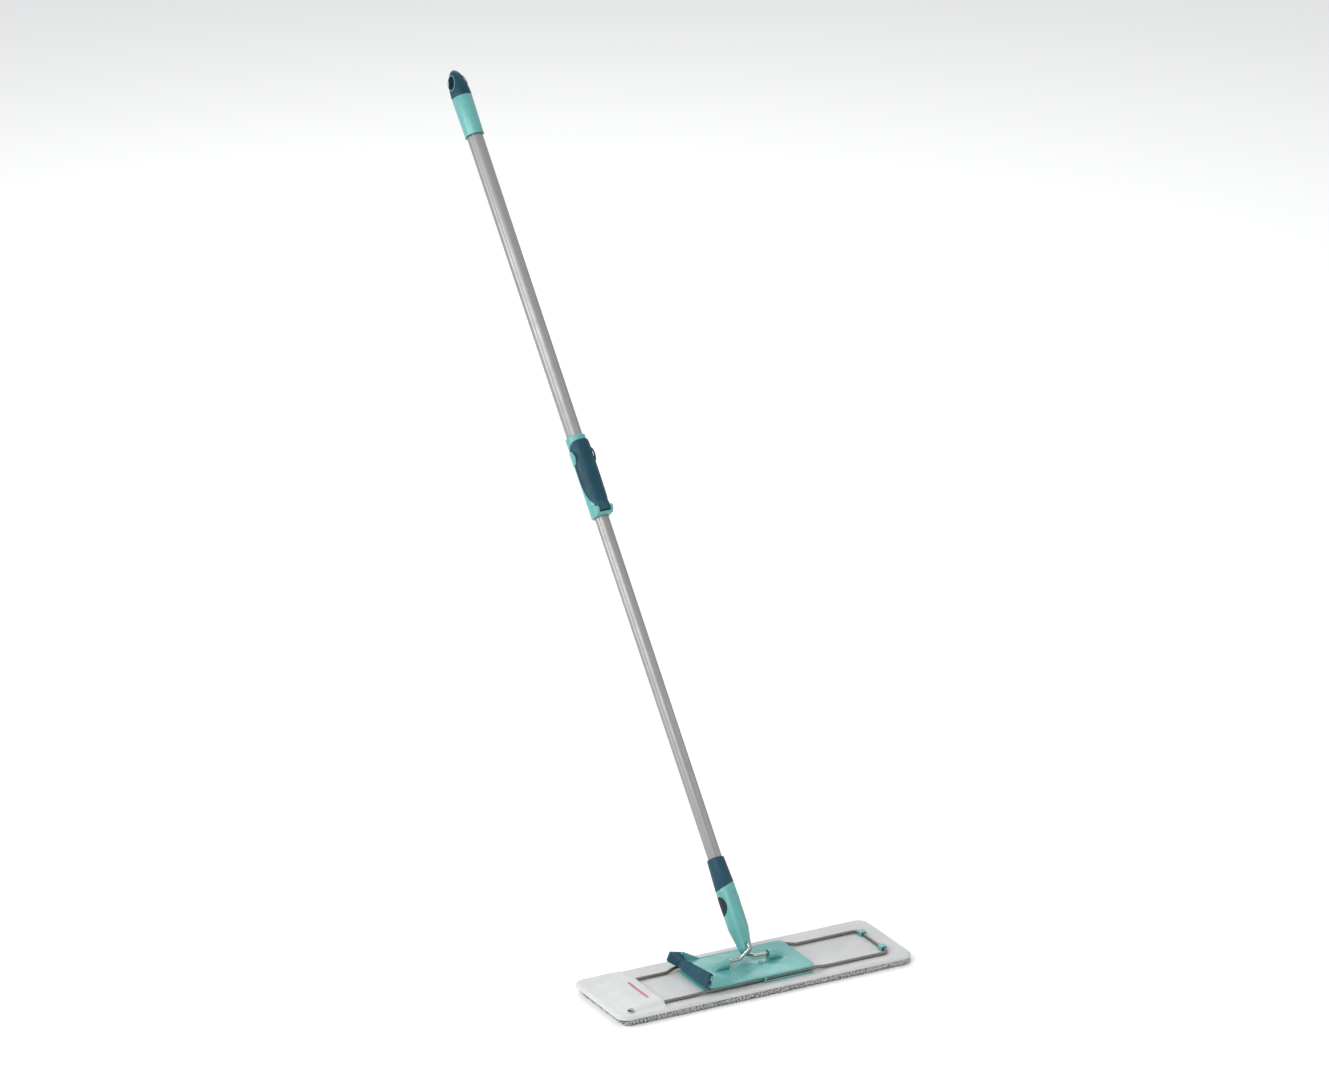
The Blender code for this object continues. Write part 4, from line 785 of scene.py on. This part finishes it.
def makePocket():
    grow = pocket["proud"]
    piece = roundedSlab(
        "coverPocket", pileLowest.x - grow, pocket["mouth"] + 0.02, pileLowest.y - grow, pileHighest.y + grow,
        cover["foot"], backingHighest.z + pocket["cloth"] + 0.0003, cover["corner"] + grow,
        cover["rimRadius"] + grow,
    )
    addModifier(piece, "REMESH", mode="VOXEL", voxel_size=pocket["cell"])
    addModifier(piece, "SMOOTH", factor=0.5, iterations=3)
    selectFaces(piece, lambda centre, normal: centre.z < cover["rimFoot"])
    bpy.ops.mesh.delete(type="FACE")
    bpy.ops.mesh.select_all(action="SELECT")
    bpy.ops.mesh.bisect(plane_co=(pocket["mouth"], 0, 0), plane_no=(1, 0, 0), clear_outer=True)
    backToObject()

    def settle(at):
        at.z += pocketLift(at.x, at.y)
        ripple = math.sin(at.y * 210 + 3 * math.sin(at.x * 90)) * math.sin(at.x * 130 + 1.3)
        at.z += pocket["ripple"] * ripple * smoothStep(inFromEdge(at.x, at.y), 0.004, 0.02)
        return at

    moveVertices(piece, settle)
    addModifier(piece, "SOLIDIFY", thickness=pocket["cloth"], offset=-1)
    punchEyelet(piece, cover["eyeletHole"])
    smooth(piece, 40)
    finishPiece(piece, "coverPocket", "left_frame", "backing_cloth", pocketCloth, "pocket_flap")
    return piece


def makeHem():
    deselectAll()
    bpy.ops.mesh.primitive_grid_add(x_subdivisions=4, y_subdivisions=80, size=1)
    piece = bpy.context.object
    front, back = pileLowest.y + pocket["hemInset"], pileHighest.y - pocket["hemInset"]
    middle = pocket["mouth"] - pocket["hem"] / 2 + pocket["hemForward"]
    editAll(piece)
    bpy.ops.transform.resize(value=(pocket["hem"], back - front, 1))
    bpy.ops.transform.translate(value=(middle, (front + back) / 2, 0))
    backToObject()
    top = backingHighest.z + pocket["cloth"] + pocket["clear"]

    def lay(at):
        edge = abs(at.x - middle) / (pocket["hem"] / 2)
        at.z = top + pocketLift(at.x, at.y) + pocket["hemThickness"] * (1 - 0.6 * edge ** 4)
        return at

    moveVertices(piece, lay)
    addModifier(piece, "SOLIDIFY", thickness=pocket["cloth"] * 1.3, offset=-1)
    addModifier(piece, "BEVEL", width=0.0004, segments=2, limit_method="ANGLE")
    smooth(piece, 40)
    finishPiece(piece, "pocketHem", "left_frame", "backing_cloth", pocketCloth)
    return piece


def makeStitches():
    deselectAll()
    bpy.ops.mesh.primitive_uv_sphere_add(segments=6, ring_count=4, radius=1)
    stitch = bpy.context.object
    editAll(stitch)
    halfWidth, halfLength = pocket["stitchWidth"] / 2, pocket["stitchLength"] / 2
    bpy.ops.transform.resize(value=(halfWidth, halfLength, halfWidth))
    backToObject()
    top = backingHighest.z + pocket["cloth"] + 0.0005 + pocket["hemThickness"]
    copies = []
    for line in pocket["stitchLines"]:
        x = pocket["mouth"] - pocket["hem"] + line
        y = pileLowest.y + pocket["stitchInset"]
        while y < pileHighest.y - pocket["stitchInset"]:
            copy = stitch.copy()
            copy.data = stitch.data.copy()
            bpy.context.scene.collection.objects.link(copy)
            slope = (pocketLift(x, y + 0.001) - pocketLift(x, y - 0.001)) / 0.002
            copy.location = (x, y, top + pocketLift(x, y))
            copy.rotation_euler = (math.atan(slope), 0, random.uniform(-0.12, 0.12))
            copies.append(copy)
            y += pocket["stitchPitch"]
    bpy.data.objects.remove(stitch)
    piece = joined(copies)
    smooth(piece, 60)
    finishPiece(piece, "pocketStitches", "left_frame", "backing_cloth", pocketCloth)
    return piece


eyelet = {"outer": 0.0078, "inner": 0.0041, "rise": 0.0013, "barrelFoot": 0.0124}


def makeEyelet():
    top = backingHighest.z + pocket["cloth"] + pocket["clear"]
    outer, inner, rise = eyelet["outer"], eyelet["inner"], eyelet["rise"]
    profile = [
        (inner, eyelet["barrelFoot"]), (inner, top - 0.0002), (inner + 0.0003, top + rise * 0.55),
        (inner + 0.0010, top + rise * 0.95), (inner + 0.0017, top + rise), (outer - 0.0012, top + rise * 0.8),
        (outer - 0.0004, top + rise * 0.45), (outer, top + 0.0001), (outer - 0.0003, top - 0.0001),
        (inner + 0.0005, top - 0.0001), (inner + 0.0005, eyelet["barrelFoot"]),
    ]
    mesh = bpy.data.meshes.new("coverEyelet")
    corners = [(radius, 0, z) for radius, z in profile]
    mesh.from_pydata(corners, [(i, (i + 1) % len(corners)) for i in range(len(corners))], [])
    piece = bpy.data.objects.new("coverEyelet", mesh)
    bpy.context.scene.collection.objects.link(piece)
    takeUp(piece)
    bpy.ops.object.mode_set(mode="EDIT")
    bpy.ops.mesh.select_all(action="SELECT")
    bpy.ops.mesh.spin(steps=40, angle=math.tau, center=(0, 0, 0), axis=(0, 0, 1))
    bpy.ops.mesh.select_all(action="SELECT")
    bpy.ops.mesh.remove_doubles(threshold=0.00001)
    bpy.ops.mesh.normals_make_consistent(inside=False)
    backToObject()
    piece.location = (eyeletCentre.x, eyeletCentre.y, 0)
    smooth(piece, 50)
    finishPiece(piece, "coverEyelet", "left_frame", "eyelet_metal", eyeletMetal, "eyelet")
    return piece


coverBacking = makeBacking()
coverPile = makePile()
coverLoops = makeTufts()
coverPocket = makePocket()
pocketHem = makeHem()
pocketStitches = makeStitches()
coverEyelet = makeEyelet()
print("cover made")


# floor and light
studio = {
    "floorTone": (0.90, 0.90, 0.90), "floorPatch": 0.985, "floorSize": 70, "floorPlace": (0, 12, -0.0004),
    "skyTone": (0.95, 0.96, 0.97), "skyPower": 0.78,
    "lights": (  # name, place, size, power
        ("keyLight", (-3.4, -2.2, 3.6), 1.8, 115), ("stripLight", (-2.2, 0.6, 1.6), 0.7, 26),
        ("fillLight", (3.0, -2.4, 2.2), 2.2, 20), ("backLight", (1.2, 3.2, 3.0), 2.4, 55),
    ),
    "aim": (0, 0.3, 0.5),
}


def makeFloor():
    deselectAll()
    bpy.ops.mesh.primitive_plane_add(size=studio["floorSize"], location=studio["floorPlace"])
    floor = bpy.context.object
    floor.name = "studioFloor"
    surface, nodes, links, shader = startMaterial("paleFloor", 0.7, 0.0, 0.2)
    place = objectPlace(nodes, links)
    soft = rangeOf(nodes, links, noiseAt(nodes, links, place, 0.8, 2), 0.3, 0.7, 0, 1)
    tone = studio["floorTone"]
    patchy = mixColours(nodes, links, soft, tone, tuple(c * studio["floorPatch"] for c in tone))
    links.new(patchy, shader.inputs["Base Color"])
    floor.data.materials.append(surface)


def makeLights():
    world = bpy.data.worlds.new("studioSky")
    world.use_nodes = True
    sky = world.node_tree.nodes["Background"]
    sky.inputs["Color"].default_value = (*studio["skyTone"], 1)
    sky.inputs["Strength"].default_value = studio["skyPower"]
    bpy.context.scene.world = world
    for name, place, size, power in studio["lights"]:
        bpy.ops.object.light_add(type="AREA", location=place)
        light = bpy.context.object
        light.name = name
        light.data.size = size
        light.data.energy = power
        aim = Vector(studio["aim"]) - Vector(place)
        light.rotation_euler = aim.to_track_quat("-Z", "Y").to_euler()


makeFloor()
makeLights()
bpy.context.scene.view_settings.view_transform = "Standard"
print("studio ready")

camera = {"place": (-4.4659, -7.9914, 4.0752), "turn": -28.45, "rise": 20.38, "lens": 188.6, "film": 36}
bpy.ops.object.camera_add(location=camera["place"])
viewer = bpy.context.object
viewer.rotation_euler = (math.radians(90 - camera["rise"]), 0, math.radians(camera["turn"]))
viewer.data.lens = camera["lens"]
viewer.data.sensor_width = camera["film"]
viewer.data.clip_end = 60
bpy.context.scene.camera = viewer
